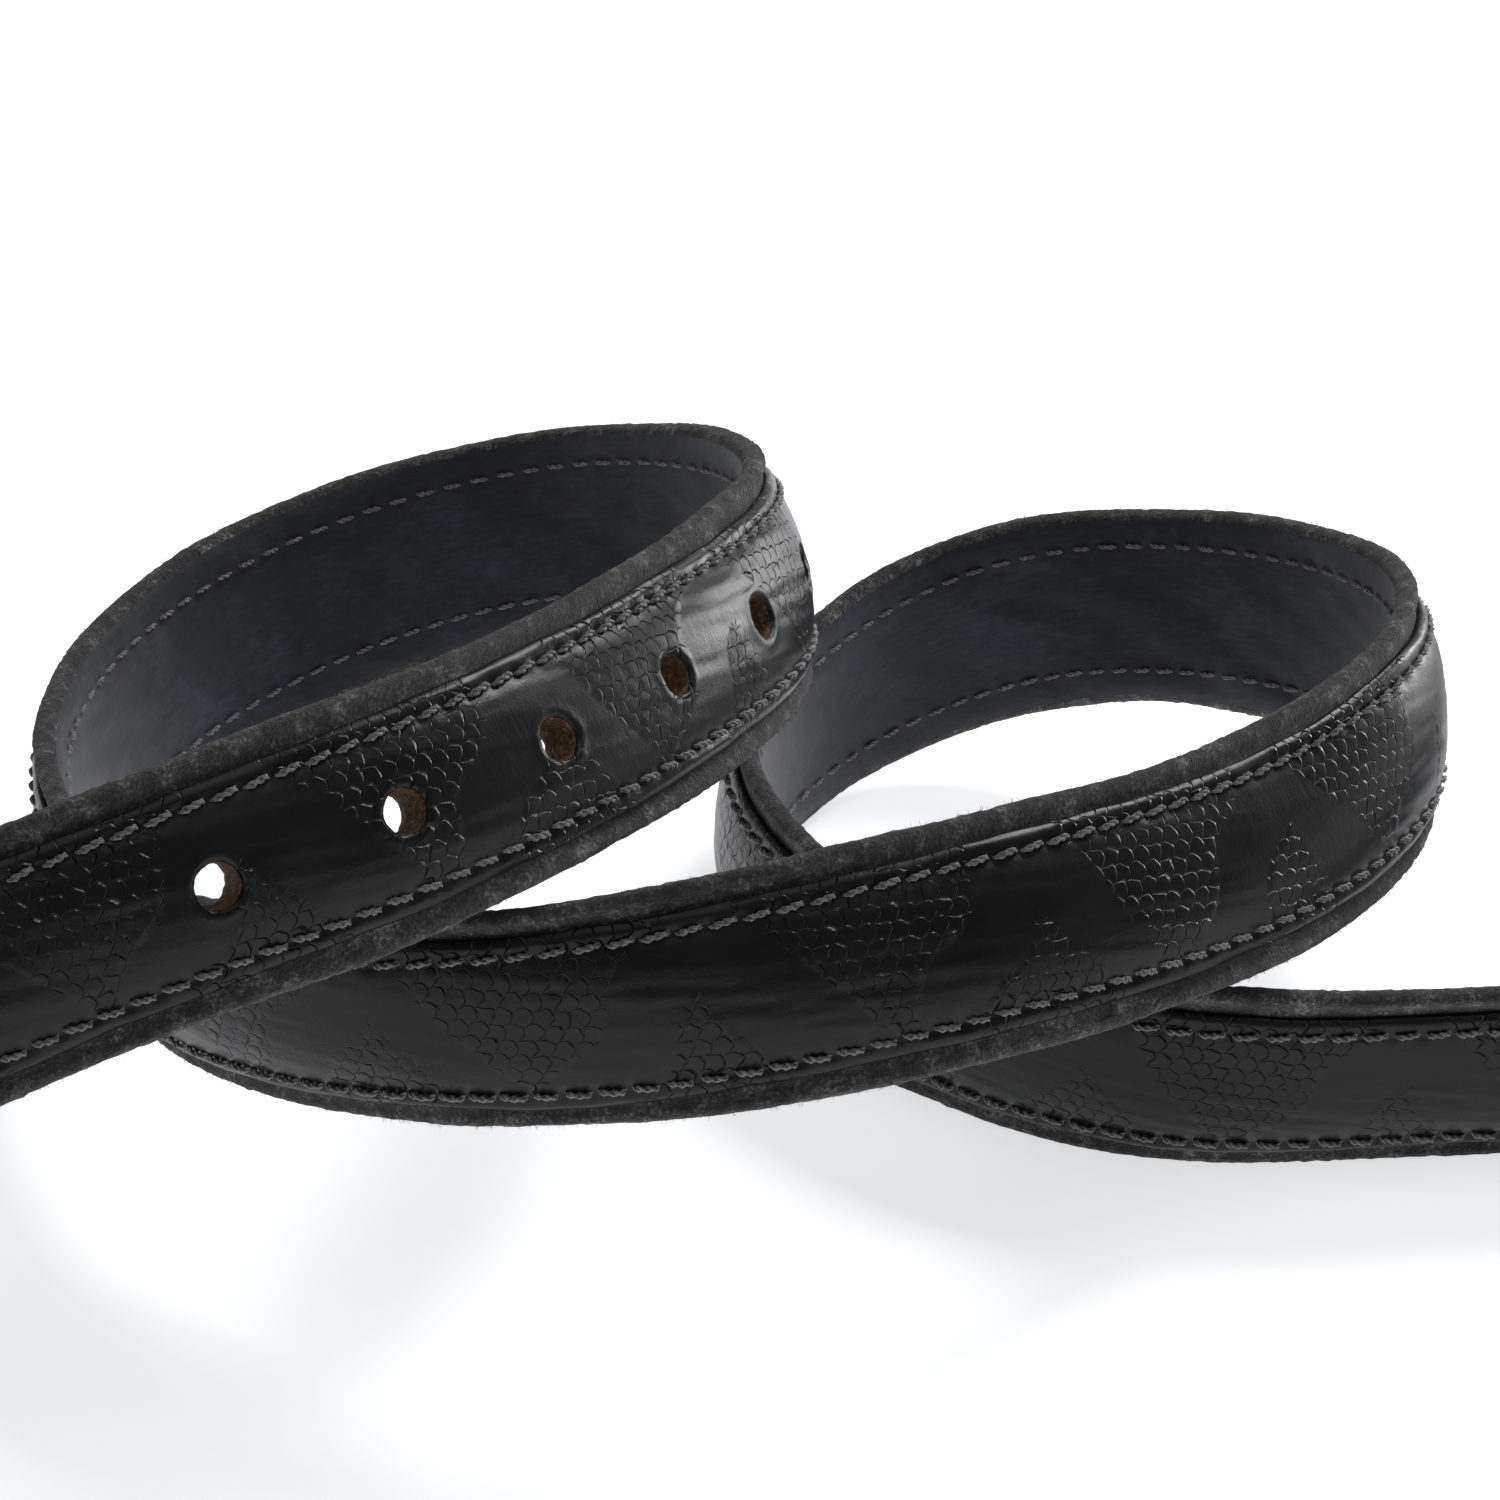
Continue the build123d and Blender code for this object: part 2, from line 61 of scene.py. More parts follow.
# %% [markdown]
# ## The route
#
# A strap is a ribbon: it bends round a coil and leans, but never stretches. Its middle line can be drawn
# by hand as a Bezier, or worked out from a few steering points. A uniform cubic B-spline is used here,
# because its bends are even and the frame's own strap is built on the same points. Each row is x, y and z
# in metres and the lean in degrees, positive where the top edge leans outwards.

# %% Steering points
ROUTE = np.array([
    (-0.186, -0.183, 0.057, -14),
    (-0.154, -0.168, 0.062, -25),
    (-0.124, -0.1515, 0.069, -22),
    (-0.094, -0.1365, 0.0765, -18),
    (-0.0635, -0.1195, 0.0795, -29),
    (-0.0395, -0.0935, 0.0785, -34),
    (-0.0225, -0.0635, 0.0745, -30),
    (-0.0105, -0.031, 0.0695, -18),
    (-0.0165, 0.003, 0.059, 1),
    (-0.0405, 0.028, 0.049, 19),
    (-0.0755, 0.031, 0.0392, 25),
    (-0.106, 0.0122, 0.0318, 19),
    (-0.118, -0.0225, 0.031, 11),
    (-0.1125, -0.0565, 0.032, 11),
    (-0.095, -0.087, 0.0355, 13),
    (-0.066, -0.107, 0.0425, 6),
    (-0.032, -0.1145, 0.049, -11),
    (0.0025, -0.107, 0.0535, -28),
    (0.032, -0.088, 0.0505, -33),
    (0.0575, -0.0645, 0.047, -28),
    (0.0785, -0.0355, 0.0475, -15),
    (0.0803, -0.0005, 0.041, 1),
    (0.0595, 0.0285, 0.0335, 13),
    (0.027, 0.046, 0.026, 14),
    (-0.006, 0.0345, 0.017, 5),
    (-0.0235, -0.002, 0.0155, -2),
    (-0.0165, -0.0345, 0.0155, -4),
    (0.006, -0.0615, 0.015, 4),
    (0.0395, -0.0793, 0.01495, 8),
    (0.074, -0.075, 0.01475, 13),
    (0.109, -0.073, 0.0149, 9),
    (0.137, -0.06, 0.015, 3),
    (0.15, -0.033, 0.015, 0),
    (0.15, 0.001, 0.015, 0),
    (0.15, 0.035, 0.015, 0),
    (0.15, 0.069, 0.015, 0),
])
SAMPLES_PER_SPAN = 160

# %% Trace the route
def trace_route(points):
    """Even samples of the B-spline: places and leans."""
    spans = len(points) - 3
    t = np.linspace(0, spans, spans * SAMPLES_PER_SPAN + 1)
    i = np.minimum(t.astype(int), spans - 1)
    u = (t - i)[:, None]
    mixed = (
        points[i] * (1 - u) ** 3
        + points[i + 1] * (3 * u**3 - 6 * u**2 + 4)
        + points[i + 2] * (-3 * u**3 + 3 * u**2 + 3 * u + 1)
        + points[i + 3] * u**3
    ) / 6
    return mixed[:, :3], np.radians(mixed[:, 3])


def unit(vectors):
    return vectors / np.linalg.norm(vectors, axis=1, keepdims=True)


middle, lean = trace_route(ROUTE)
along = unit(np.gradient(middle, axis=0))
upright = unit(np.array([0, 0, 1.0]) - along * along[:, 2:])
outward = np.cross(along, upright)
across = upright * np.cos(lean)[:, None] + outward * np.sin(lean)[:, None]
travelled = np.concatenate([[0], np.cumsum(np.linalg.norm(np.diff(middle, axis=0), axis=1))])
ROUTE_LENGTH = travelled[-1]
print("strap from the tip to the turn-back:", round(ROUTE_LENGTH, 4), "m")

# %% [markdown]
# ## The turn-back
#
# Past the route's end the backing runs straight on, goes round the bar of the snap's eye and comes back
# against itself. Seen from above that is a teardrop. It is added to the same trace, so that one ribbon
# covers the whole backing. The corners of the teardrop are softened by averaging neighbouring points,
# as thick leather can't bend sharply.

# %% Trace the turn-back
LEATHER = 3.0 * MM
END = middle[-1]
BAR = END + np.array([-LEATHER, 0.058, 0])
LOOP_OUTSIDE = 5.35 * MM
TEARDROP = 12 * MM
tilt = math.asin((LOOP_OUTSIDE - LEATHER) / TEARDROP)
turn = np.linspace(-tilt, math.pi + tilt, 60)
arc = BAR + LOOP_OUTSIDE * np.stack([np.cos(turn), np.sin(turn), 0 * turn], 1)
RETURN_LEAF = 38 * MM
corners = [END + [0, d, 0] for d in np.arange(0.001, 0.0455, 0.0005)]
corners += list(arc)
corners += [BAR + [-LEATHER, -TEARDROP - d, 0] for d in np.arange(0.0, RETURN_LEAF, 0.0005)]
rough = np.array(corners)
walked = np.concatenate([[0], np.cumsum(np.linalg.norm(np.diff(rough, axis=0), axis=1))])
steps = np.arange(0, walked[-1], 0.00025)
even = np.stack([np.interp(steps, walked, rough[:, k]) for k in range(3)], 1)
for _ in range(6):
    even[4:-4] = sum(even[4 + k : len(even) - 4 + k] for k in range(-4, 5)) / 9
loop_along = unit(np.gradient(even, axis=0))
loop_across = np.tile([0, 0, 1.0], (len(even), 1))
loop_outward = np.cross(loop_along, loop_across)

middle = np.concatenate([middle, even])
across = np.concatenate([across, loop_across])
along = np.concatenate([along, loop_along])
before_loop = len(along) - len(even)
outward = np.concatenate([np.cross(along[:before_loop], across[:before_loop]), loop_outward])
travelled = np.concatenate([[0], np.cumsum(np.linalg.norm(np.diff(middle, axis=0), axis=1))])
STRAP_END = travelled[-1]
print("with the turn-back:", round(STRAP_END, 4), "m")

# %% [markdown]
# ## Strap coordinates
#
# From here on a place on the strap is three numbers: how far along it, how far across from its middle
# and how far out of the backing's face. `place` turns them into a point in space. It keeps the leather
# on the floor too: what would sink below the floor is lifted to it, as the real edge is squashed there.

# %% Place a point on the strap
def place(s, v, u):
    """Points in space, in metres, for places along, across and out of the strap, in metres."""
    s, v, u = np.broadcast_arrays(np.asarray(s, float), v, u)
    read = lambda table: np.stack([np.interp(s, travelled, table[:, k]) for k in range(3)], -1)
    points = read(middle) + read(across) * v[..., None] + read(outward) * u[..., None]
    points[..., 2] = np.maximum(points[..., 2], 0.15 * MM)
    return points


def ease(x):
    """0 to 1 with a soft start and stop."""
    x = np.clip(x, 0, 1)
    return x * x * (3 - 2 * x)


def wander(s, seed, longest=0.09, shortest=0.008, count=7):
    """A slow, repeatable wobble between about -1 and 1, for edges that no knife cut quite straight."""
    rng = np.random.default_rng(seed)
    lengths = np.geomspace(longest, shortest, count)
    return sum(
        math.sqrt(length / longest) * np.sin(2 * math.pi * s / length + rng.uniform(0, 6.28))
        for length in lengths
    ) / 1.7


# %% Sizes
BACKING_HALF = 15.0 * MM
FACE_HALF = 12.2 * MM
TIP = 24 * MM
FACE_START = 2.8 * MM
FACE_END = ROUTE_LENGTH - 15 * MM
STITCH_ROW = 9.8 * MM
PITCH = 4.27 * MM
HOLE = 2.9 * MM
HOLES = [0.083 + i * 0.0254 for i in range(6)]


def rounded_end(distance, length):
    """A strap's width as a share of its full width, near a rounded end."""
    x = np.clip(distance / length, 0, 1)
    return np.sqrt(np.maximum(1 - (1 - x) ** 2, 1e-4))


print("holes at", [round(h, 4) for h in HOLES])

# %% [markdown]
# ## From rings to a closed skin
#
# Both leathers are skins made of rings, one ring per step along the strap, each ring a cross-section.
# Blender could loft this with a curve and a bevel object, but then the cross-section couldn't change
# along the way, and it does: it narrows at the tip, curls and wobbles. So the rings are joined here in
# code, with a UV map in metres of leather, for the patterns to follow.

# %% Join rings
def skin(name, rings, uv, material_of_column, materials):
    """A closed mesh through rings, an array of (step, point, xyz). uv is (step, point, 2)."""
    steps_count, ring_count = rings.shape[:2]
    row = np.arange(steps_count - 1)[:, None] * ring_count
    col = np.arange(ring_count)[None, :]
    nxt = (col + 1) % ring_count
    quads = np.stack([row + col, row + ring_count + col, row + ring_count + nxt, row + nxt], -1)
    quads = quads.reshape(-1, 4)
    first_ring = list(range(ring_count))
    last_ring = list(range((steps_count - 1) * ring_count, steps_count * ring_count))
    caps = [first_ring, last_ring[::-1]]
    mesh = bpy.data.meshes.new(name)
    mesh.from_pydata(rings.reshape(-1, 3).tolist(), [], quads.tolist() + caps)
    layer = mesh.uv_layers.new(name="leather")
    corner_points = np.empty(len(mesh.loops), int)
    mesh.loops.foreach_get("vertex_index", corner_points)
    flat = uv.reshape(-1, 2)[corner_points]
    layer.data.foreach_set("uv", flat.astype(np.float32).ravel())
    for material in materials:
        mesh.materials.append(material)
    kinds = np.tile(np.asarray(material_of_column), steps_count - 1).tolist() + [0, 0]
    mesh.polygons.foreach_set("material_index", kinds)
    mesh.polygons.foreach_set("use_smooth", [True] * len(mesh.polygons))
    mesh.update()
    made = bpy.data.objects.new(name, mesh)
    bpy.context.scene.collection.objects.link(made)
    shell = bmesh.new()
    shell.from_mesh(mesh)
    if shell.calc_volume(signed=True) < 0:
        bmesh.ops.reverse_faces(shell, faces=shell.faces)
        shell.to_mesh(mesh)
    shell.free()
    print(name, "has", 2 * len(mesh.polygons), "triangles")
    return made


# %% [markdown]
# ## Finishes
#
# Each finish is a small network of nodes. The helpers below only shorten the writing: one adds a node,
# one adds a Math node and one a noise. A value that is the same all over is typed straight onto the
# shader's socket; only what varies over the surface is linked.

# %% Node helpers
def finish_named(name, **settings):
    """A new material and its parts: (material, node tree, shader). Settings go onto the shader's sockets."""
    material = bpy.data.materials.new(name)
    material.use_nodes = True
    tree = material.node_tree
    shader = tree.nodes["Principled BSDF"]
    for socket, value in settings.items():
        shader.inputs[socket.replace("_", " ")].default_value = value
    return material, tree, shader


def wire(tree, value, socket):
    """A number is typed on the socket; anything else is linked to it."""
    if isinstance(value, (int, float)):
        socket.default_value = value
    else:
        tree.links.new(value, socket)


def calc(tree, operation, a, b=0.0, c=0.0, clamp=False):
    node = tree.nodes.new("ShaderNodeMath")
    node.operation = operation
    node.use_clamp = clamp
    for value, socket in zip((a, b, c), node.inputs):
        wire(tree, value, socket)
    return node.outputs[0]


def noise(tree, where, scale, detail=3.0, roughness=0.6):
    node = tree.nodes.new("ShaderNodeTexNoise")
    tree.links.new(where, node.inputs["Vector"])
    node.inputs["Scale"].default_value = scale
    node.inputs["Detail"].default_value = detail
    node.inputs["Roughness"].default_value = roughness
    return node.outputs[0]


def ramp(tree, value, stops):
    """A colour ramp: stops are (place, colour)."""
    node = tree.nodes.new("ShaderNodeValToRGB")
    tree.links.new(value, node.inputs[0])
    node.color_ramp.elements[0].position, node.color_ramp.elements[0].color = stops[0][0], (*stops[0][1], 1)
    node.color_ramp.elements[1].position, node.color_ramp.elements[1].color = stops[-1][0], (*stops[-1][1], 1)
    for at, colour in stops[1:-1]:
        node.color_ramp.elements.new(at).color = (*colour, 1)
    return node.outputs[0]


def bump(tree, height, distance, strength=1.0, under=None):
    node = tree.nodes.new("ShaderNodeBump")
    node.inputs["Strength"].default_value = strength
    node.inputs["Distance"].default_value = distance
    tree.links.new(height, node.inputs["Height"])
    if under is not None:
        tree.links.new(under, node.inputs["Normal"])
    return node.outputs[0]


def object_places(tree):
    return tree.nodes.new("ShaderNodeTexCoord").outputs["Object"]


def leather_places(tree):
    """The strap's own coordinates: x is along it and y across it, in metres."""
    node = tree.nodes.new("ShaderNodeUVMap")
    node.uv_map = "leather"
    return node.outputs[0]


def stretched(tree, where, x, y, z=1.0):
    node = tree.nodes.new("ShaderNodeMapping")
    node.inputs["Scale"].default_value = (x, y, z)
    tree.links.new(where, node.inputs["Vector"])
    return node.outputs[0]


# %% [markdown]
# ### The embossed scales
#
# The face leather is pressed with small overlapping scales, like a fish's, in triangular patches with
# plain leather between them. A voronoi texture gives cells but no overlap, so the scales are worked out:
# rows of half-discs, each row shifted by half a scale, each scale rising to its rounded lip and dropping
# there to the next one, with a fine groove along the lip. The same rule is written twice, once in numpy
# to move the mesh and once in nodes for the fine edge that the mesh is too coarse to hold.

# %% Scales in numpy
SCALE_LONG = 2.2 * MM
SCALE_WIDE = 2.8 * MM
PATCH = 44 * MM
PATCH_SLOPE = 1.25  # how fast a triangle narrows
PATCH_EDGE = 0.1  # softness of its border
LOW_PATCH = 0.62  # height of the hanging triangles, as a share of the face
SCALE_TURN = 0.45  # how far the rows are turned on the strap
LIP_REACH = 1.9  # how far a scale reaches over the next one


def patch_cover(s, v):
    """1 inside a patch of scales, 0 on plain leather."""
    drift = 0.0016 * np.sin(s * 230 + v * 300)
    x = (s + drift) / PATCH
    tent = np.abs(2 * (x - np.floor(x)) - 1)
    height = v / (2 * FACE_HALF) + 0.5
    first = ease((height - PATCH_SLOPE * tent) / PATCH_EDGE)
    y = (s + drift) / PATCH + 0.5
    tent_down = np.abs(2 * (y - np.floor(y)) - 1)
    second = ease((LOW_PATCH - height - PATCH_SLOPE * tent_down) / PATCH_EDGE)
    return np.maximum(first, second)


def scale_height(s, v):
    """Height of the overlapping scales, 0 to 1."""
    x = s + SCALE_TURN * v + 0.0002 * np.sin(s * 2100 + v * 1500)
    y = v - SCALE_TURN * s + 0.0002 * np.sin(s * 1700 - v * 2300)
    w = x / SCALE_LONG
    row = np.floor(w)
    ahead = w - row
    side = y / SCALE_WIDE + 0.5 * np.mod(row, 2)
    side = side - np.floor(side) - 0.5
    lip = LIP_REACH * np.sqrt(np.maximum(0.25 - side**2, 0))
    on_top = ease((lip - ahead) / 0.2 + 0.5)
    groove = np.maximum(1 - np.abs(lip - ahead) / 0.16, 0)
    return 0.2 * (ahead + on_top) - 0.6 * groove


print("scales per patch, about", round(PATCH / SCALE_LONG / 2 * 2 * FACE_HALF / SCALE_WIDE))

# %% Scales in nodes
def scales_in_nodes(tree, where):
    """(height of the scales, cover of the patches), the same rule as in numpy."""
    split = tree.nodes.new("ShaderNodeSeparateXYZ")
    tree.links.new(where, split.inputs[0])
    s, v = split.outputs[0], split.outputs[1]
    do = lambda operation, a, b=0.0, c=0.0, clamp=False: calc(tree, operation, a, b, c, clamp)
    soft = lambda x: do("MULTIPLY", do("MULTIPLY", x, x), do("SUBTRACT", 3.0, do("MULTIPLY", 2.0, x)))
    wave = lambda a, b: do("SINE", do("ADD", do("MULTIPLY", s, a), do("MULTIPLY", v, b)))

    x = do("ADD", do("ADD", s, do("MULTIPLY", v, SCALE_TURN)), do("MULTIPLY", wave(2100.0, 1500.0), 0.0002))
    turned = do("SUBTRACT", v, do("MULTIPLY", s, SCALE_TURN))
    y = do("ADD", turned, do("MULTIPLY", wave(1700.0, -2300.0), 0.0002))
    w = do("DIVIDE", x, SCALE_LONG)
    row = do("FLOOR", w)
    ahead = do("SUBTRACT", w, row)
    shift = do("MULTIPLY", 0.5, do("FLOORED_MODULO", row, 2.0))
    side = do("SUBTRACT", do("FRACT", do("ADD", do("DIVIDE", y, SCALE_WIDE), shift)), 0.5)
    inside = do("MAXIMUM", do("SUBTRACT", 0.25, do("MULTIPLY", side, side)), 0.0)
    lip = do("MULTIPLY", LIP_REACH, do("SQRT", inside))
    edge = do("ADD", do("DIVIDE", do("SUBTRACT", lip, ahead), 0.08), 0.5, clamp=True)
    groove = do("SUBTRACT", 1.0, do("DIVIDE", do("ABSOLUTE", do("SUBTRACT", lip, ahead)), 0.11), clamp=True)
    rise = do("MULTIPLY", 0.2, do("ADD", ahead, soft(edge)))
    height = do("SUBTRACT", rise, do("MULTIPLY", 0.6, groove))

    drift = do("MULTIPLY", wave(230.0, 300.0), 0.0016)
    tile = do("DIVIDE", do("ADD", s, drift), PATCH)
    tent = do("ABSOLUTE", do("SUBTRACT", do("MULTIPLY", 2.0, do("FRACT", tile)), 1.0))
    level = do("ADD", do("DIVIDE", v, 2 * FACE_HALF), 0.5)
    above = do("SUBTRACT", level, do("MULTIPLY", PATCH_SLOPE, tent))
    first = do("DIVIDE", above, PATCH_EDGE, clamp=True)
    tent_down = do("ABSOLUTE", do("SUBTRACT", do("MULTIPLY", 2.0, do("FRACT", do("ADD", tile, 0.5))), 1.0))
    below = do("SUBTRACT", do("SUBTRACT", LOW_PATCH, level), do("MULTIPLY", PATCH_SLOPE, tent_down))
    second = do("DIVIDE", below, PATCH_EDGE, clamp=True)
    cover = do("MAXIMUM", soft(first), soft(second))
    return height, cover


# %% [markdown]
# ### The five leathers and the metal
#
# The face is smooth, semi-gloss and nearly black. The backing is the flesh side of the hide: rough,
# matt and flecked with grey where fibres catch the light. Its inner side is shaved smooth and a little
# blue. The holes show the undyed tan leather inside. The thread is waxed, and the snap is nickel plate.

# %% Face leather
face_leather, tree, shader = finish_named("face leather", Specular_IOR_Level=0.26, IOR=1.5)
places = leather_places(tree)
height, cover = scales_in_nodes(tree, places)
grain = noise(tree, stretched(tree, places, 1, 1), 2600, 4, 0.65)
creases = noise(tree, stretched(tree, places, 1.0, 0.35), 420, 5, 0.7)
patches = noise(tree, places, 60, 3)
colour = ramp(tree, patches, [(0.3, (0.003, 0.003, 0.0035)), (0.7, (0.007, 0.007, 0.008))])
tree.links.new(colour, shader.inputs["Base Color"])
gloss = calc(tree, "MULTIPLY_ADD", patches, 0.2, 0.17)
gloss = calc(tree, "MULTIPLY_ADD", grain, 0.14, gloss)
tree.links.new(gloss, shader.inputs["Roughness"])
pressed = calc(tree, "MULTIPLY", calc(tree, "SUBTRACT", height, 0.1), cover)
first = bump(tree, grain, 0.00008, 0.5)
second = bump(tree, creases, 0.00022, 0.35, first)
third = bump(tree, pressed, 0.0005, 1.0, second)
tree.links.new(third, shader.inputs["Normal"])
print("face leather:", len(tree.nodes), "nodes")

# %% Rough backing
suede, tree, shader = finish_named("rough backing", Specular_IOR_Level=0.2,
                                   Sheen_Weight=0.25, Sheen_Roughness=0.6)
places = object_places(tree)
nap = noise(tree, places, 1900, 4, 0.75)
clumps = noise(tree, places, 320, 3, 0.6)
flecks = calc(tree, "MULTIPLY_ADD", clumps, 0.5, calc(tree, "MULTIPLY", nap, 0.62))
colour = ramp(tree, flecks, [(0.4, (0.003, 0.003, 0.003)), (0.53, (0.01, 0.01, 0.01)),
                             (0.62, (0.05, 0.05, 0.05)), (0.74, (0.28, 0.28, 0.28))])
tree.links.new(colour, shader.inputs["Base Color"])
shader.inputs["Roughness"].default_value = 0.95
first = bump(tree, nap, 0.0006, 1.0)
second = bump(tree, clumps, 0.0007, 0.8, first)
tree.links.new(second, shader.inputs["Normal"])
print("rough backing:", len(tree.nodes), "nodes")

# %% Shaved inner side
lining, tree, shader = finish_named("shaved inner side", Specular_IOR_Level=0.35,
                                    Sheen_Weight=0.2, Sheen_Roughness=0.5)
places = leather_places(tree)
brushed = noise(tree, stretched(tree, places, 0.35, 1.2), 900, 5, 0.7)
clouds = noise(tree, places, 45, 4, 0.6)
mix = calc(tree, "MULTIPLY_ADD", brushed, 0.45, calc(tree, "MULTIPLY", clouds, 0.55))
colour = ramp(tree, mix, [(0.33, (0.007, 0.0075, 0.011)), (0.5, (0.017, 0.018, 0.027)),
                          (0.68, (0.045, 0.047, 0.066))])
tree.links.new(colour, shader.inputs["Base Color"])
tree.links.new(calc(tree, "MULTIPLY_ADD", brushed, 0.3, 0.45), shader.inputs["Roughness"])
first = bump(tree, brushed, 0.00012, 0.7)
second = bump(tree, clouds, 0.0006, 0.5, first)
tree.links.new(second, shader.inputs["Normal"])
print("inner side:", len(tree.nodes), "nodes")

# %% Raw leather in the holes
raw_leather, tree, shader = finish_named("raw leather", Specular_IOR_Level=0.25)
places = object_places(tree)
fibres = noise(tree, places, 1500, 4, 0.75)
colour = ramp(tree, fibres, [(0.35, (0.03, 0.017, 0.01)), (0.55, (0.13, 0.07, 0.035)),
                             (0.75, (0.38, 0.24, 0.13))])
tree.links.new(colour, shader.inputs["Base Color"])
shader.inputs["Roughness"].default_value = 0.85
tree.links.new(bump(tree, fibres, 0.0004, 0.9), shader.inputs["Normal"])

# %% Waxed thread
def thread_finish(name, dark, light):
    """Waxed thread: a soft sheen and slight unevenness of colour."""
    material, tree, shader = finish_named(name, Specular_IOR_Level=0.5, Sheen_Weight=0.15)
    fuzz = noise(tree, object_places(tree), 2400, 3)
    tree.links.new(ramp(tree, fuzz, [(0.35, dark), (0.65, light)]), shader.inputs["Base Color"])
    shader.inputs["Roughness"].default_value = 0.5
    tree.links.new(bump(tree, fuzz, 0.0001, 0.5), shader.inputs["Normal"])
    return material


face_thread = thread_finish("waxed thread", (0.03, 0.03, 0.03), (0.19, 0.19, 0.19))
back_thread = thread_finish("waxed thread, inner side", (0.05, 0.05, 0.055), (0.22, 0.22, 0.23))

# %% Plated metal
def metal_finish(name, colour, roughness, scratch):
    """Polished plate with fine wear, or drawn wire."""
    material, tree, shader = finish_named(name, Metallic=1.0)
    shader.inputs["Base Color"].default_value = (*colour, 1)
    places = object_places(tree)
    wear = noise(tree, places, 260, 4, 0.7)
    fine = noise(tree, stretched(tree, places, 1, 0.06, 1), 5200, 2)
    tree.links.new(calc(tree, "MULTIPLY_ADD", wear, 0.2, roughness), shader.inputs["Roughness"])
    tree.links.new(bump(tree, fine, 0.00003, scratch), shader.inputs["Normal"])
    return material


nickel = metal_finish("nickel plate", (0.72, 0.69, 0.64), 0.1, 0.35)
wire_steel = metal_finish("drawn spring wire", (0.55, 0.55, 0.56), 0.25, 0.6)
for node in ("binding_posts", "binding_screws", "snap_eye", "snap_hook", "snap_bolt", "thumb_stud",
             "bolt_spring"):
    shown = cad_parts[node]
    shown.data.materials.clear()
    shown.data.materials.append(wire_steel if node == "bolt_spring" else nickel)

# %% [markdown]
# ## The backing
#
# A rough strap 30 mm wide and 3 mm thick. Its margins stand 3 mm past the face strap on each side and
# curl a little towards it, because the stitching pulls the middle in. The edge is soft and uneven.
# The whole length is one skin, from the rounded tip round the turn-back to the skived end.

# %% Backing
def backing_half(s):
    tip = rounded_end(s, TIP)
    taper = (BACKING_HALF - 9.5 * MM) * ease((s - (ROUTE_LENGTH - 16 * MM)) / (16 * MM))
    rag = (0.6 + 0.25 * wander(s, 1, 0.12, 0.03, 4)) * MM * (1 - ease((s - ROUTE_LENGTH + 0.02) / 0.02))
    return BACKING_HALF * tip - taper + rag * tip


def backing_thickness(s):
    """The return leaf is skived thin at its end."""
    return LEATHER - 1.8 * MM * ease((s - (STRAP_END - 7 * MM)) / (7 * MM))


step_at = np.concatenate([[0.0002, 0.0008, 0.0016, 0.0028, 0.0042, 0.006, 0.008],
                          np.arange(0.0088, STRAP_END, 0.00085)])
half = backing_half(step_at)[:, None]
thick = backing_thickness(step_at)[:, None]
FLAT = 0.905
outer_v = np.concatenate([np.linspace(-FLAT, -0.79, 6), np.linspace(0.79, FLAT, 6)])
inner_v = np.linspace(FLAT, -FLAT, 19)
edge_turn = np.linspace(math.pi / 2, -math.pi / 2, 8)[1:-1]


def curl(s, v_share, top):
    """How far a margin stands up towards the face."""
    upper = 0.8 + 0.4 * wander(s, 2, 0.12, 0.03, 4)
    lower = 0.6 + 0.4 * wander(s, 3, 0.12, 0.03, 4)
    amount = np.where(top, upper, lower) * MM
    tight = 1 - ease((s - FACE_END) / 0.012)
    return amount * tight * ease((np.abs(v_share) - 0.8) / 0.2)


def backing_ring(v_share, depth):
    """depth is 0 on the outer side and 1 on the inner side."""
    top = v_share > 0
    lift = curl(step_at[:, None], v_share, top)
    return v_share * half, -thick * depth + lift * (1 - 0.35 * depth)


ring_v, ring_u = [], []
for shares, depths in (
    (outer_v, 0 * outer_v),
    (FLAT + (1 - FLAT) * np.cos(edge_turn), 0.5 - 0.5 * np.sin(edge_turn)),
    (inner_v, 1 + 0 * inner_v),
    (-FLAT - (1 - FLAT) * np.cos(edge_turn), 0.5 + 0.5 * np.sin(edge_turn)),
):
    for share, depth in zip(shares, depths):
        v, u = backing_ring(np.full((1, 1), share), depth)
        ring_v.append(v[:, 0])
        ring_u.append(u[:, 0])
ring_v, ring_u = np.array(ring_v).T, np.array(ring_u).T
rng = np.random.default_rng(7)
margin = ease((np.abs(ring_v) / half - 0.8) / 0.06)
ring_v = ring_v + margin * rng.normal(0, 0.05 * MM, ring_v.shape)
ring_u = ring_u + margin * rng.normal(0, 0.06 * MM, ring_u.shape)
ripples = [wander(step_at + 0.004 * k, 20 + k // 6, 0.03) for k in range(ring_v.shape[1])]
belly = (ring_u < -1.5 * MM) * 0.12 * MM * np.array(ripples).T
ring_u = ring_u + belly * (1 - margin)
count = ring_v.shape[1]
inner_columns = [len(outer_v) + len(edge_turn) <= k < count - len(edge_turn) - 1 for k in range(count)]
backing_uv = np.stack([np.repeat(step_at[:, None], count, 1), ring_v], -1)
backing = skin("rein_backing_leather", place(step_at[:, None], ring_v, ring_u), backing_uv,
               [1 if inside else 0 for inside in inner_columns], [suede, lining])

# %% [markdown]
# ## The face strap
#
# Smooth leather over a padding core, so its middle stands up. Its edges are bevelled, it dips along the
# stitching and it is pulled down at every stitch hole. The scales are pressed into it. All of that is
# a height over the flat strap, summed below and then placed along the route.

# %% Face strap
CROWN_V = np.array([0, 2, 4, 6, 7.5, 8.8, 10.4, 11.4, 11.95, 12.2]) * MM
CROWN_U = np.array([3.3, 3.25, 3.1, 2.8, 2.42, 2.0, 1.75, 1.5, 1.15, 0.75]) * MM


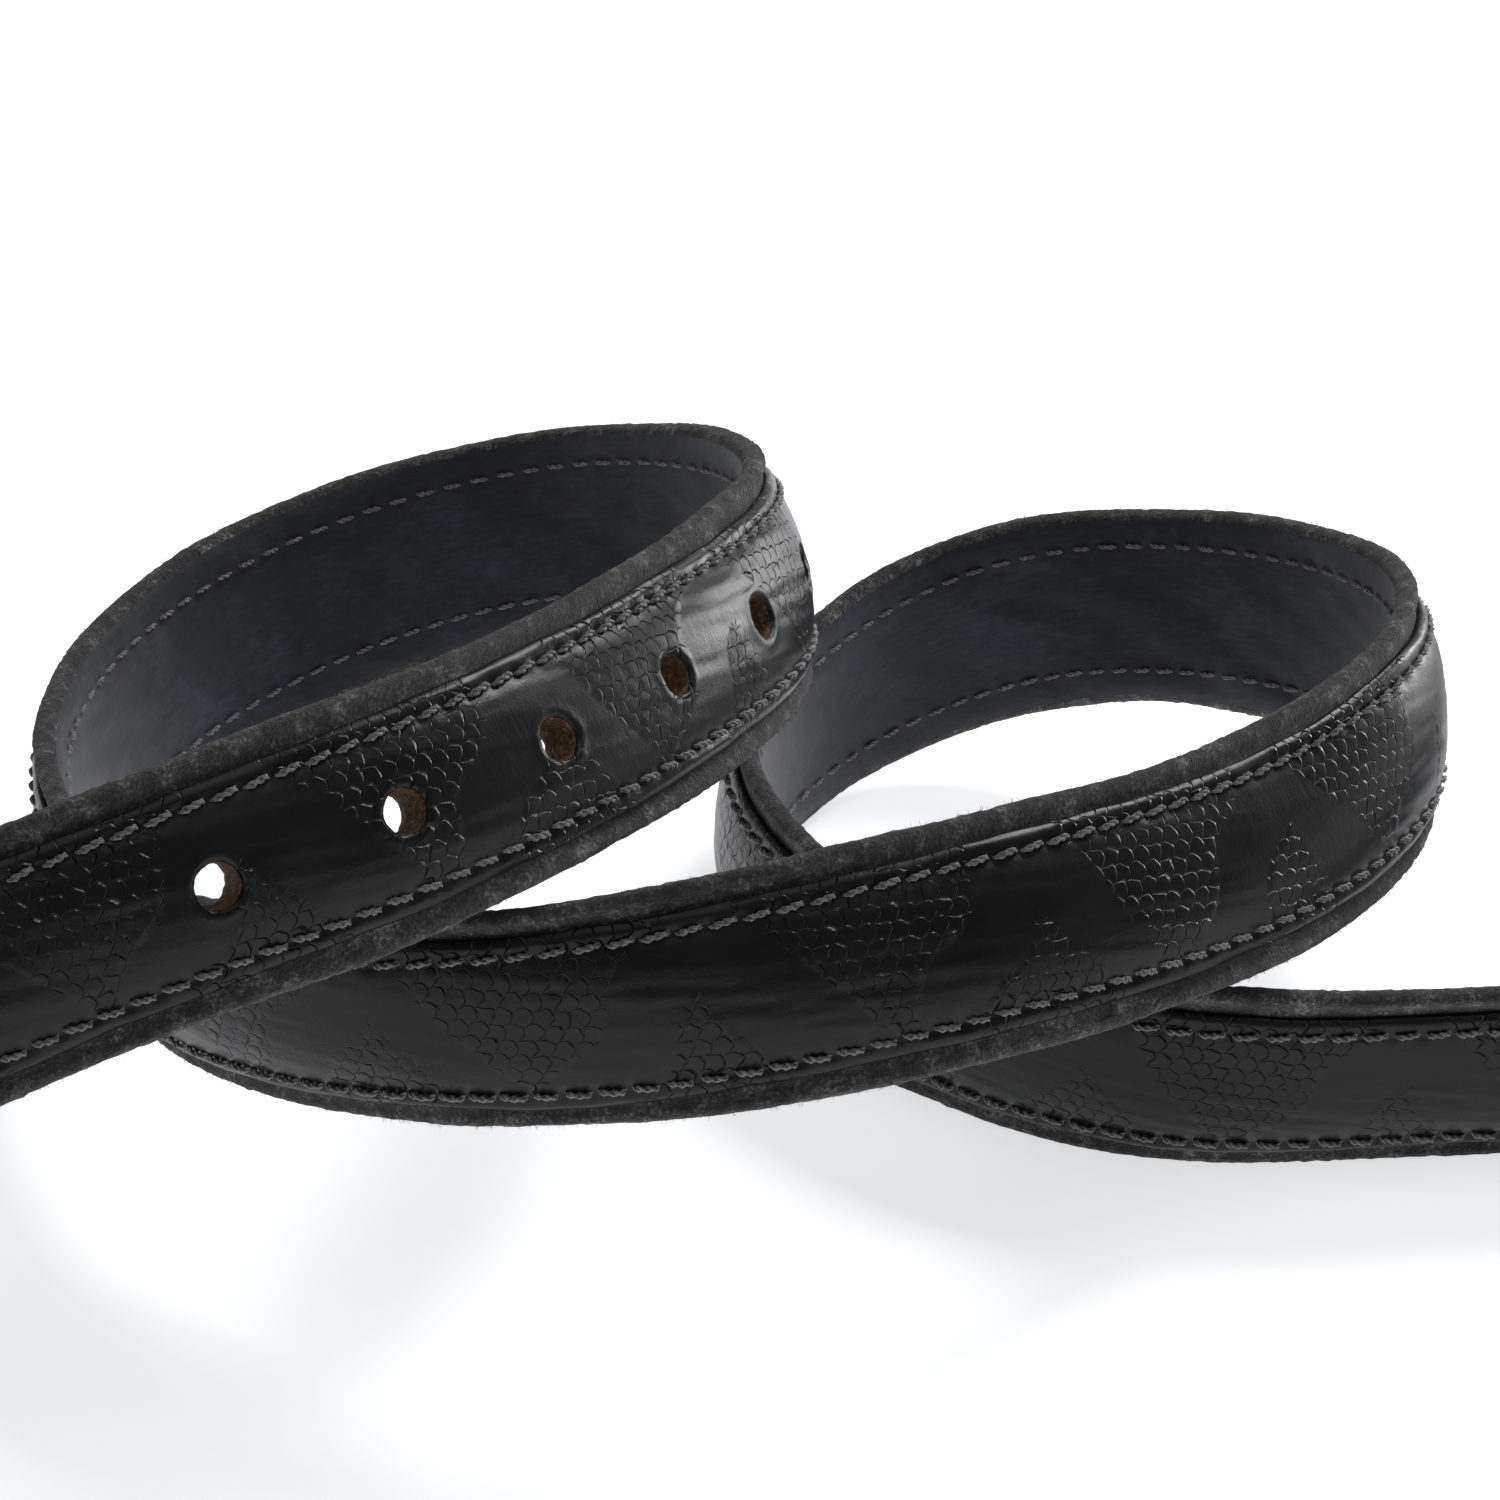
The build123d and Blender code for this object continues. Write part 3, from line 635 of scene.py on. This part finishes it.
def face_share(s):
    return np.minimum(rounded_end(s - FACE_START, TIP - FACE_START),
                      rounded_end(FACE_END - s, TIP - FACE_START))


def crown(s, v):
    """Height of the face over the backing, before it is pressed and sewn. The core ends before the face."""
    rise = np.minimum(ease((s - 0.016) / 0.014), ease((FACE_END - 0.016 - s) / 0.014))
    fine = np.linspace(0, CROWN_V[-1], 200)
    smooth_u = np.interp(fine, CROWN_V, CROWN_U)
    for _ in range(3):
        smooth_u[3:-3] = (smooth_u[:-6] + smooth_u[3:-3] + smooth_u[6:]) / 3
    full = np.interp(np.abs(v), fine, smooth_u)
    return full - 1.3 * MM * (1 - rise) * ease((8 * MM - np.abs(v)) / (8 * MM))


def sewing_dip(s, v):
    """The channel along each row, deepest at the stitch holes."""
    row = np.exp(-(((np.abs(v) - STITCH_ROW) / (0.75 * MM)) ** 2))
    pull = 0.5 + 0.5 * np.cos(2 * math.pi * s / PITCH)
    return row * (0.22 + 0.3 * pull**3) * MM


def hole_rim(s, v):
    """Punching and use leave a low ridge round each hole."""
    total = 0 * s * v
    for at in HOLES:
        away = np.sqrt((s - at) ** 2 + v**2)
        total = total + 0.16 * MM * np.exp(-(((away - HOLE - 0.7 * MM) / (0.6 * MM)) ** 2))
        total = total - 0.5 * MM * ease((HOLE + 0.5 * MM - away) / (0.7 * MM))
    return total


face_at = np.concatenate([FACE_START + np.array([0.2, 0.8, 1.6, 2.6]) * MM,
                          np.arange(FACE_START + 3.4 * MM, FACE_END - 3.2 * MM, 0.68 * MM),
                          FACE_END - np.array([2.6, 1.6, 0.8, 0.2]) * MM])
shares = np.concatenate([[-1, -0.985, -0.96, -0.93], np.linspace(-0.89, 0.89, 37), [0.93, 0.96, 0.985, 1]])
s = face_at[:, None]
flat_v = shares[None, :] * FACE_HALF
v = flat_v * face_share(s)
wobble = 1 + 0.012 * np.where(flat_v > 0, wander(s, 4), wander(s, 5)) * ease((np.abs(shares) - 0.85) / 0.1)
v = v * wobble
u = crown(s, flat_v) - sewing_dip(s, v) + hole_rim(s, v)
pressed_in = patch_cover(s, v) * ease((STITCH_ROW - 0.6 * MM - np.abs(v)) / (1.0 * MM))
u = u + pressed_in * (scale_height(s, v) - 0.1) * 0.12 * MM
u = u + 0.05 * MM * np.stack([wander(face_at + 0.003 * k, 40 + k // 5, 0.04) for k in range(len(shares))], 1)
under = np.stack([v[:, -1] * 0.985, v[:, 0] * 0.985], 1)
ring_v = np.concatenate([v, under], 1)
ring_u = np.concatenate([u, np.full(under.shape, 0.06 * MM)], 1)
face_uv = np.stack([np.repeat(s, ring_v.shape[1], 1), ring_v], -1)
face = skin("face_strap_leather", place(s, ring_v, ring_u), face_uv, [0] * ring_v.shape[1], [face_leather])

# %% [markdown]
# ## Punching the holes
#
# A Boolean modifier cuts through both skins at once with six short rods, one for each hole. The rods
# are a little oval and uneven, as a worn punched hole is. The manifold solver is quick on big closed
# meshes like these. The cut wall is then dressed with a lining of raw leather, a ring that stands
# just inside it and frays at its rims.

# %% Punch
def tube_rings(at, radius_of, levels, segments=36):
    """Rings round one hole: radius_of(angle, level) at each level out of the strap."""
    angle = np.linspace(0, 2 * math.pi, segments, endpoint=False)
    rings = []
    for level in levels:
        r = radius_of(angle, level)
        rings.append(place(at + r * np.cos(angle) * 1.03, r * np.sin(angle), level))
    return np.array(rings)


def solid_from_rings(name, rings, material, closed_wall=False):
    """Capped at both ends, or with closed_wall joined from the last ring back to the first."""
    levels, segments = rings.shape[:2]
    faces = []
    for i in range(levels if closed_wall else levels - 1):
        j = (i + 1) % levels
        for k in range(segments):
            n = (k + 1) % segments
            faces.append((i * segments + k, i * segments + n, j * segments + n, j * segments + k))
    if not closed_wall:
        faces.append(tuple(range(segments))[::-1])
        faces.append(tuple(range((levels - 1) * segments, levels * segments)))
    mesh = bpy.data.meshes.new(name)
    mesh.from_pydata(rings.reshape(-1, 3).tolist(), [], faces)
    mesh.materials.append(material)
    shell = bmesh.new()
    shell.from_mesh(mesh)
    bmesh.ops.recalc_face_normals(shell, faces=shell.faces)
    shell.to_mesh(mesh)
    shell.free()
    mesh.polygons.foreach_set("use_smooth", [True] * len(mesh.polygons))
    made = bpy.data.objects.new(name, mesh)
    bpy.context.scene.collection.objects.link(made)
    return made


def join(pieces, name):
    """One mesh object from several."""
    whole = bmesh.new()
    for piece in pieces:
        whole.from_mesh(piece.data)
    mesh = bpy.data.meshes.new(name)
    whole.to_mesh(mesh)
    whole.free()
    for material in pieces[0].data.materials:
        mesh.materials.append(material)
    mesh.polygons.foreach_set("use_smooth", [True] * len(mesh.polygons))
    for piece in pieces:
        bpy.data.objects.remove(piece)
    made = bpy.data.objects.new(name, mesh)
    bpy.context.scene.collection.objects.link(made)
    return made


def worn_radius(seed):
    rng = np.random.default_rng(seed)
    a, b = rng.uniform(0, 6.28, 2)
    return lambda angle, level: HOLE * (1 + 0.02 * np.sin(2 * angle + a) + 0.012 * np.sin(5 * angle + b))


punches = join([solid_from_rings(f"punch_{i}", tube_rings(at, worn_radius(i), [-5 * MM, 5 * MM]), raw_leather)
                for i, at in enumerate(HOLES)], "punches")
for leather in (backing, face):
    cut = leather.modifiers.new("punch", "BOOLEAN")
    cut.operation = "DIFFERENCE"
    cut.solver = "MANIFOLD"
    cut.object = punches
    bpy.context.view_layer.update()
    graph = bpy.context.evaluated_depsgraph_get()
    holed = bpy.data.meshes.new_from_object(leather.evaluated_get(graph))
    leather.modifiers.clear()
    before = len(leather.data.polygons)
    leather.data = holed
    print(leather.name, "faces before and after the punch:", before, len(holed.polygons))
bpy.data.objects.remove(punches)

# %% Line the holes with raw leather
def hole_lining(i, at):
    """A closed ring of raw leather in one hole, frayed at both rims."""
    rng = np.random.default_rng(100 + i)
    angle_count = 48
    fray = rng.normal(0, 1, (6, angle_count))
    base = worn_radius(i)
    levels_out = [-2.85, -1.6, 0.2, 1.6, 2.75]
    rings = []
    for k, level in enumerate(levels_out):
        angle = np.linspace(0, 2 * math.pi, angle_count, endpoint=False)
        narrow = 0.12 * MM + 0.05 * MM * fray[k]
        rough = base(angle, level) - narrow
        rings.append(place(at + rough * np.cos(angle) * 1.03, rough * np.sin(angle),
                           level * MM + 0.05 * MM * fray[5 - k]))
    for level in reversed(levels_out):
        angle = np.linspace(0, 2 * math.pi, angle_count, endpoint=False)
        outside = base(angle, level) + 0.1 * MM
        rings.append(place(at + outside * np.cos(angle) * 1.03, outside * np.sin(angle), level * MM))
    return solid_from_rings(f"lining_{i}", np.array(rings), raw_leather, closed_wall=True)


hole_walls = join([hole_lining(i, at) for i, at in enumerate(HOLES)], "hole_walls")
print("hole walls:", len(hole_walls.data.polygons), "faces")

# %% [markdown]
# ## Stitches
#
# A stitch is one short length of two-ply waxed thread that comes out of one hole, lies on the leather
# and goes into the next. It repeats over a thousand times, which is what Geometry Nodes are for. One
# stitch is built as a small mesh of two twisted plies, and a node tree puts a copy on every stitch hole
# and turns it: along the row, and up out of the leather. The turn is stored on the points as two
# directions. The tree ends in Realize Instances and Set Material, so that the result is plain mesh.

# %% One stitch
def one_stitch(name, length, thickness, sides=5, rings=8, twists=1.6):
    """Two plies twisted round a low arch, along +X, lying on z = 0."""
    faces, points = [], []
    for ply in (0, math.pi):
        base = len(points)
        for i in range(rings):
            t = i / (rings - 1)
            x = (t - 0.5) * length
            arch = thickness * 0.42 - thickness * 1.15 * abs(2 * t - 1) ** 4
            a = ply + t * twists * 2 * math.pi
            cy, cz = 0.25 * thickness * math.cos(a), arch + 0.25 * thickness * math.sin(a)
            r = 0.29 * thickness * (1 - 0.45 * abs(2 * t - 1) ** 6)
            for k in range(sides):
                b = 2 * math.pi * k / sides
                points.append((x, cy + r * math.cos(b), cz + r * math.sin(b)))
        for i in range(rings - 1):
            for k in range(sides):
                n = (k + 1) % sides
                p = base + i * sides
                faces.append((p + k, p + n, p + sides + n, p + sides + k))
        faces.append(tuple(base + k for k in range(sides))[::-1])
        faces.append(tuple(base + (rings - 1) * sides + k for k in range(sides)))
    mesh = bpy.data.meshes.new(name)
    mesh.from_pydata(points, [], faces)
    shell = bmesh.new()
    shell.from_mesh(mesh)
    bmesh.ops.recalc_face_normals(shell, faces=shell.faces)
    shell.to_mesh(mesh)
    shell.free()
    mesh.polygons.foreach_set("use_smooth", [True] * len(mesh.polygons))
    made = bpy.data.objects.new(name, mesh)
    bpy.context.scene.collection.objects.link(made)
    return made


face_stitch = one_stitch("one_face_stitch", 4.1 * MM, 0.95 * MM)
back_stitch = one_stitch("one_back_stitch", 3.3 * MM, 0.75 * MM)
print("faces in one stitch:", len(face_stitch.data.polygons))

# %% The sewing tree
def sewing_tree():
    """Copies of a stitch on points, aimed by the attributes 'row' and 'out'."""
    tree = bpy.data.node_groups.new("sew", "GeometryNodeTree")
    face_in = tree.interface.new_socket
    face_in("Holes", in_out="INPUT", socket_type="NodeSocketGeometry")
    face_in("Stitch", in_out="INPUT", socket_type="NodeSocketObject")
    face_in("Size", in_out="INPUT", socket_type="NodeSocketFloat")
    face_in("Unevenness", in_out="INPUT", socket_type="NodeSocketFloat")
    face_in("Seed", in_out="INPUT", socket_type="NodeSocketInt")
    face_in("Thread", in_out="INPUT", socket_type="NodeSocketMaterial")
    face_in("Stitches", in_out="OUTPUT", socket_type="NodeSocketGeometry")
    new, link = tree.nodes.new, tree.links.new
    given, made = new("NodeGroupInput"), new("NodeGroupOutput")

    def stored(attribute):
        node = new("GeometryNodeInputNamedAttribute")
        node.data_type = "FLOAT_VECTOR"
        node.inputs["Name"].default_value = attribute
        return node.outputs[0]

    to_row = new("FunctionNodeAlignRotationToVector")
    to_row.axis = "X"
    link(stored("row"), to_row.inputs["Vector"])
    to_out = new("FunctionNodeAlignRotationToVector")
    to_out.axis, to_out.pivot_axis = "Z", "X"
    link(to_row.outputs[0], to_out.inputs["Rotation"])
    link(stored("out"), to_out.inputs["Vector"])
    chance = new("FunctionNodeRandomValue")
    chance.data_type = "FLOAT"
    link(given.outputs["Seed"], chance.inputs["Seed"])
    low = new("ShaderNodeMath")
    low.operation = "SUBTRACT"
    link(given.outputs["Size"], low.inputs[0])
    link(given.outputs["Unevenness"], low.inputs[1])
    high = new("ShaderNodeMath")
    link(given.outputs["Size"], high.inputs[0])
    link(given.outputs["Unevenness"], high.inputs[1])
    link(low.outputs[0], chance.inputs[2])
    link(high.outputs[0], chance.inputs[3])
    stitch = new("GeometryNodeObjectInfo")
    link(given.outputs["Stitch"], stitch.inputs[0])
    copies = new("GeometryNodeInstanceOnPoints")
    link(given.outputs["Holes"], copies.inputs["Points"])
    link(stitch.outputs["Geometry"], copies.inputs["Instance"])
    link(to_out.outputs[0], copies.inputs["Rotation"])
    link(chance.outputs[1], copies.inputs["Scale"])
    real = new("GeometryNodeRealizeInstances")
    link(copies.outputs[0], real.inputs[0])
    finish = new("GeometryNodeSetMaterial")
    link(real.outputs[0], finish.inputs[0])
    link(given.outputs["Thread"], finish.inputs["Material"])
    link(finish.outputs[0], made.inputs[0])
    return tree


SEW = sewing_tree()


def run_tree(tree, name, points, directions, values):
    """Runs a node tree on loose points and returns its result as a plain mesh object."""
    mesh = bpy.data.meshes.new(name)
    mesh.from_pydata(points.tolist(), [], [])
    for attribute, vectors in directions.items():
        layer = mesh.attributes.new(attribute, "FLOAT_VECTOR", "POINT")
        layer.data.foreach_set("vector", vectors.astype(np.float32).ravel())
    made = bpy.data.objects.new(name, mesh)
    bpy.context.scene.collection.objects.link(made)
    modifier = made.modifiers.new("nodes", "NODES")
    modifier.node_group = tree
    for item in tree.interface.items_tree:
        if item.item_type == "SOCKET" and item.in_out == "INPUT" and item.name in values:
            modifier[item.identifier] = values[item.name]
    made.update_tag()
    bpy.context.view_layer.update()
    plain = bpy.data.meshes.new_from_object(made.evaluated_get(bpy.context.evaluated_depsgraph_get()))
    made.modifiers.clear()
    made.data = plain
    print(name, "has", sum(len(p.vertices) - 2 for p in plain.polygons), "triangles")
    return made


# %% Sew the strap
def sewn_row(name, side, on_face, stitch, thread, seed):
    """One row of stitches: side is 1 for the upper edge and -1 for the lower."""
    first = FACE_START + 4 * MM
    starts = np.arange(math.ceil(first / PITCH) * PITCH, FACE_END - 6 * MM, PITCH)
    at = starts + PITCH / 2
    v = side * (STITCH_ROW - FACE_HALF * (1 - face_share(at)))
    shift = 0.0005
    slant = side * 0.30 * MM if on_face else side * 0.12 * MM
    if on_face:
        u = crown(at, v) - 0.2 * MM
    else:
        u = np.full(at.shape, -LEATHER + 0.06 * MM)
    here = place(at, v, u)
    ahead = place(at + shift, v + slant * shift / (PITCH / 2), u)
    sideways = place(at, v + 0.3 * MM, (crown(at, v + 0.3 * MM) - 0.2 * MM) if on_face else u)
    row = unit(ahead - here)
    out = unit(np.cross(row, sideways - here))
    if not on_face:
        out = -out
    return run_tree(SEW, name, here, {"row": row, "out": out},
                    {"Stitch": stitch, "Size": 1.0, "Unevenness": 0.06, "Seed": seed, "Thread": thread})


stitches = {
    "face_stitch_upper": sewn_row("face_stitches_upper", 1, True, face_stitch, face_thread, 1),
    "face_stitch_lower": sewn_row("face_stitches_lower", -1, True, face_stitch, face_thread, 2),
    "back_stitch_upper": sewn_row("back_stitches_upper", 1, False, back_stitch, back_thread, 3),
    "back_stitch_lower": sewn_row("back_stitches_lower", -1, False, back_stitch, back_thread, 4),
}

# %% [markdown]
# ## Loose fibres
#
# Rough leather sheds. Fine fibres stand off both cut edges, and they are what makes the outline soft.
# Hair particles would be lost in an export, so they are short thin spikes, put on the edge by the same
# kind of tree as the stitches.

# %% Fibres on the edges
def one_fibre():
    """A bent three-sided spike, 1 unit long, standing on z = 0."""
    ring = [(math.cos(a) * 0.05, math.sin(a) * 0.05) for a in (0, 2.1, 4.2)]
    points = [(x, y, -0.1) for x, y in ring]
    points += [(x * 0.7 + 0.1, y * 0.7, 0.55) for x, y in ring] + [(0.32, 0, 1.0)]
    faces = [(2, 1, 0)] + [(i, (i + 1) % 3, 3 + (i + 1) % 3, 3 + i) for i in range(3)]
    faces += [(3 + i, 3 + (i + 1) % 3, 6) for i in range(3)]
    mesh = bpy.data.meshes.new("one_fibre")
    mesh.from_pydata(points, [], faces)
    made = bpy.data.objects.new("one_fibre", mesh)
    bpy.context.scene.collection.objects.link(made)
    return made


fibre = one_fibre()
rng = np.random.default_rng(11)
FIBRES = 7000
at = rng.uniform(0.003, STRAP_END - 0.004, FIBRES)
side = rng.choice([-1, 1], FIBRES)
turned = rng.uniform(-0.2, 1.35, FIBRES)
half_there = backing_half(at)
thick_there = backing_thickness(at)
v = side * half_there * (FLAT + (1 - FLAT) * np.cos(turned))
lift = curl(at, v / half_there, side > 0)
u = -0.5 * thick_there * (1 - np.sin(turned)) + lift * 0.85 - 0.08 * MM
here = place(at, v, u)
aside = place(at, v + side * np.cos(turned) * MM, u + np.sin(turned) * MM)
out = unit(aside - here + rng.normal(0, 0.35 * MM, here.shape))
row = unit(np.cross(out, rng.normal(0, 1, here.shape)))
above_floor = here[:, 2] > 1.2 * MM
fuzz = run_tree(SEW, "edge_fibres", here[above_floor], {"row": row[above_floor], "out": out[above_floor]},
                {"Stitch": fibre, "Size": 0.55 * MM, "Unevenness": 0.3 * MM, "Seed": 5, "Thread": suede})

# %% [markdown]
# ## The running keeper
#
# A band of the same black leather that slides over the turn-back and keeps its end flat. It is a short
# tube with soft corners, swept here from a rounded rectangle, with three stitches at its seam behind.

# %% Keeper
low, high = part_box("running_keeper")
keeper_middle = (low + high) / 2


def rounded_rectangle(width, height, corner, per_corner=6):
    points = []
    for quarter, (sx, sy) in enumerate(((1, 1), (-1, 1), (-1, -1), (1, -1))):
        for k in range(per_corner + 1):
            a = math.pi / 2 * (quarter + k / per_corner)
            points.append((sx * (width / 2 - corner) + corner * math.cos(a),
                           sy * (height / 2 - corner) + corner * math.sin(a)))
    return points


def keeper_band():
    """Loops round the band: outside from edge to edge with soft rims, then inside and back."""
    inner_x, inner_z = high.x - low.x - 4 * MM, high.z - low.z - 4 * MM
    width = high.y - low.y
    loops = []
    profile = [(0.0, 0.35), (0.0, 1.5), (0.15, 1.85), (0.5, 2.0)]
    outside = profile + [(width / MM * f, 2.0 + 0.12 * math.sin(math.pi * f)) for f in (0.2, 0.4, 0.6, 0.8)]
    outside += [(width / MM - a, b) for a, b in reversed(profile)]
    inside = [(width / MM - 0.35, 0.0), (0.35, 0.0)]
    for a, b in outside + inside:
        corner = 0.4 * MM + b * MM
        ring = rounded_rectangle(inner_x + 2 * b * MM, inner_z + 2 * b * MM, corner)
        loops.append([(keeper_middle.x + x, low.y + a * MM, keeper_middle.z + z) for x, z in ring])
    return np.array(loops)


keeper = solid_from_rings("keeper_band", keeper_band(), face_leather, closed_wall=True)
uv = keeper.data.uv_layers.new(name="leather")
for loop in keeper.data.loops:
    point = keeper.data.vertices[loop.vertex_index].co
    uv.data[loop.index].uv = (0.0105 + (point.y - low.y) * 0.1, point.z - keeper_middle.z)
behind = np.array([[low.x + 0.02 * MM, keeper_middle.y + y * MM, keeper_middle.z + z * MM]
                   for y in (-3.6, 3.6) for z in (-4.2, 0, 4.2)])
keeper_sewing = run_tree(SEW, "keeper_sewing", behind,
                         {"row": np.tile([0.0, 0, 1], (6, 1)), "out": np.tile([-1.0, 0, 0], (6, 1))},
                         {"Stitch": back_stitch, "Size": 1.0, "Unevenness": 0.05, "Seed": 6,
                          "Thread": back_thread})
for pattern_piece in (face_stitch, back_stitch, fibre):
    bpy.data.objects.remove(pattern_piece)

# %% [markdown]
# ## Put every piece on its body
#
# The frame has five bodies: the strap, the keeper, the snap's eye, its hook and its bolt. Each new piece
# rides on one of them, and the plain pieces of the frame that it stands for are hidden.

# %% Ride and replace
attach(backing, "strap")
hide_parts("billet_backing", "rein_backing")
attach(face, "strap")
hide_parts("face_strap", "padding_core")
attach(hole_walls, "strap")
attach(fuzz, "strap")
for node, rows in stitches.items():
    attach(rows, "strap")
    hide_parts(node)
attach(keeper, "keeper")
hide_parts("running_keeper")
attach(keeper_sewing, "keeper")
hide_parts("keeper_stitches")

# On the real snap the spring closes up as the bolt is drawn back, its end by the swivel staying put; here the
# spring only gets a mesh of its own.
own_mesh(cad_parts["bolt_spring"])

# %% [markdown]
# ## Floor, light and camera
#
# The strap stands on a plain white sweep. One large soft light hangs behind and above, so that the top
# edges and both bends get a bright rim and the shadows fall forwards. A long lens from about 29 degrees
# above the floor keeps the loops' shapes true.

# %% Floor
def white_floor():
    mesh = bpy.data.meshes.new("floor")
    r = 6.0
    mesh.from_pydata([(-r, -r, 0), (r, -r, 0), (r, r, 0), (-r, r, 0)], [], [(0, 1, 2, 3)])
    material, tree, shader = finish_named("white paper", Base_Color=(0.9, 0.9, 0.92, 1), Roughness=0.9,
                                          Emission_Color=(0.97, 0.98, 1, 1), Emission_Strength=0.66)
    mesh.materials.append(material)
    floor = bpy.data.objects.new("floor", mesh)
    bpy.context.scene.collection.objects.link(floor)


white_floor()

# %% Lights
def soft_box(name, at, aim, size, power, colour=(1, 1, 1)):
    lamp = bpy.data.lights.new(name, "AREA")
    lamp.shape, lamp.size, lamp.size_y = "RECTANGLE", size[0], size[1]
    lamp.energy, lamp.color = power, colour
    made = bpy.data.objects.new(name, lamp)
    made.location = at
    made.rotation_euler = (Vector(aim) - Vector(at)).to_track_quat("-Z", "Y").to_euler()
    bpy.context.scene.collection.objects.link(made)


soft_box("key light", (0.6, 0.65, 0.95), (0, -0.1, 0.03), (0.4, 0.4), 11)
soft_box("top light", (0.05, -0.45, 1.5), (0.05, -0.35, 0.03), (1.4, 1.2), 4)
soft_box("rim light", (0.7, 0.55, 0.16), (0.03, 0, 0.05), (0.16, 0.2), 2.6)
world = bpy.data.worlds.new("studio")
world.use_nodes = True
world.node_tree.nodes["Background"].inputs[0].default_value = (1, 1, 1, 1)
world.node_tree.nodes["Background"].inputs[1].default_value = 0.14
bpy.context.scene.world = world
bpy.context.scene.view_settings.view_transform = "Standard"

# %% Camera
lens = bpy.data.cameras.new("camera")
lens.sensor_width, lens.lens = 36, 109.8
camera = bpy.data.objects.new("camera", lens)
camera.location = (-0.018, -0.5978, 0.3544)
camera.rotation_euler = (math.radians(61.07), 0, 0)
bpy.context.scene.collection.objects.link(camera)
bpy.context.scene.camera = camera

# %% Finish
bpy.context.view_layer.update()
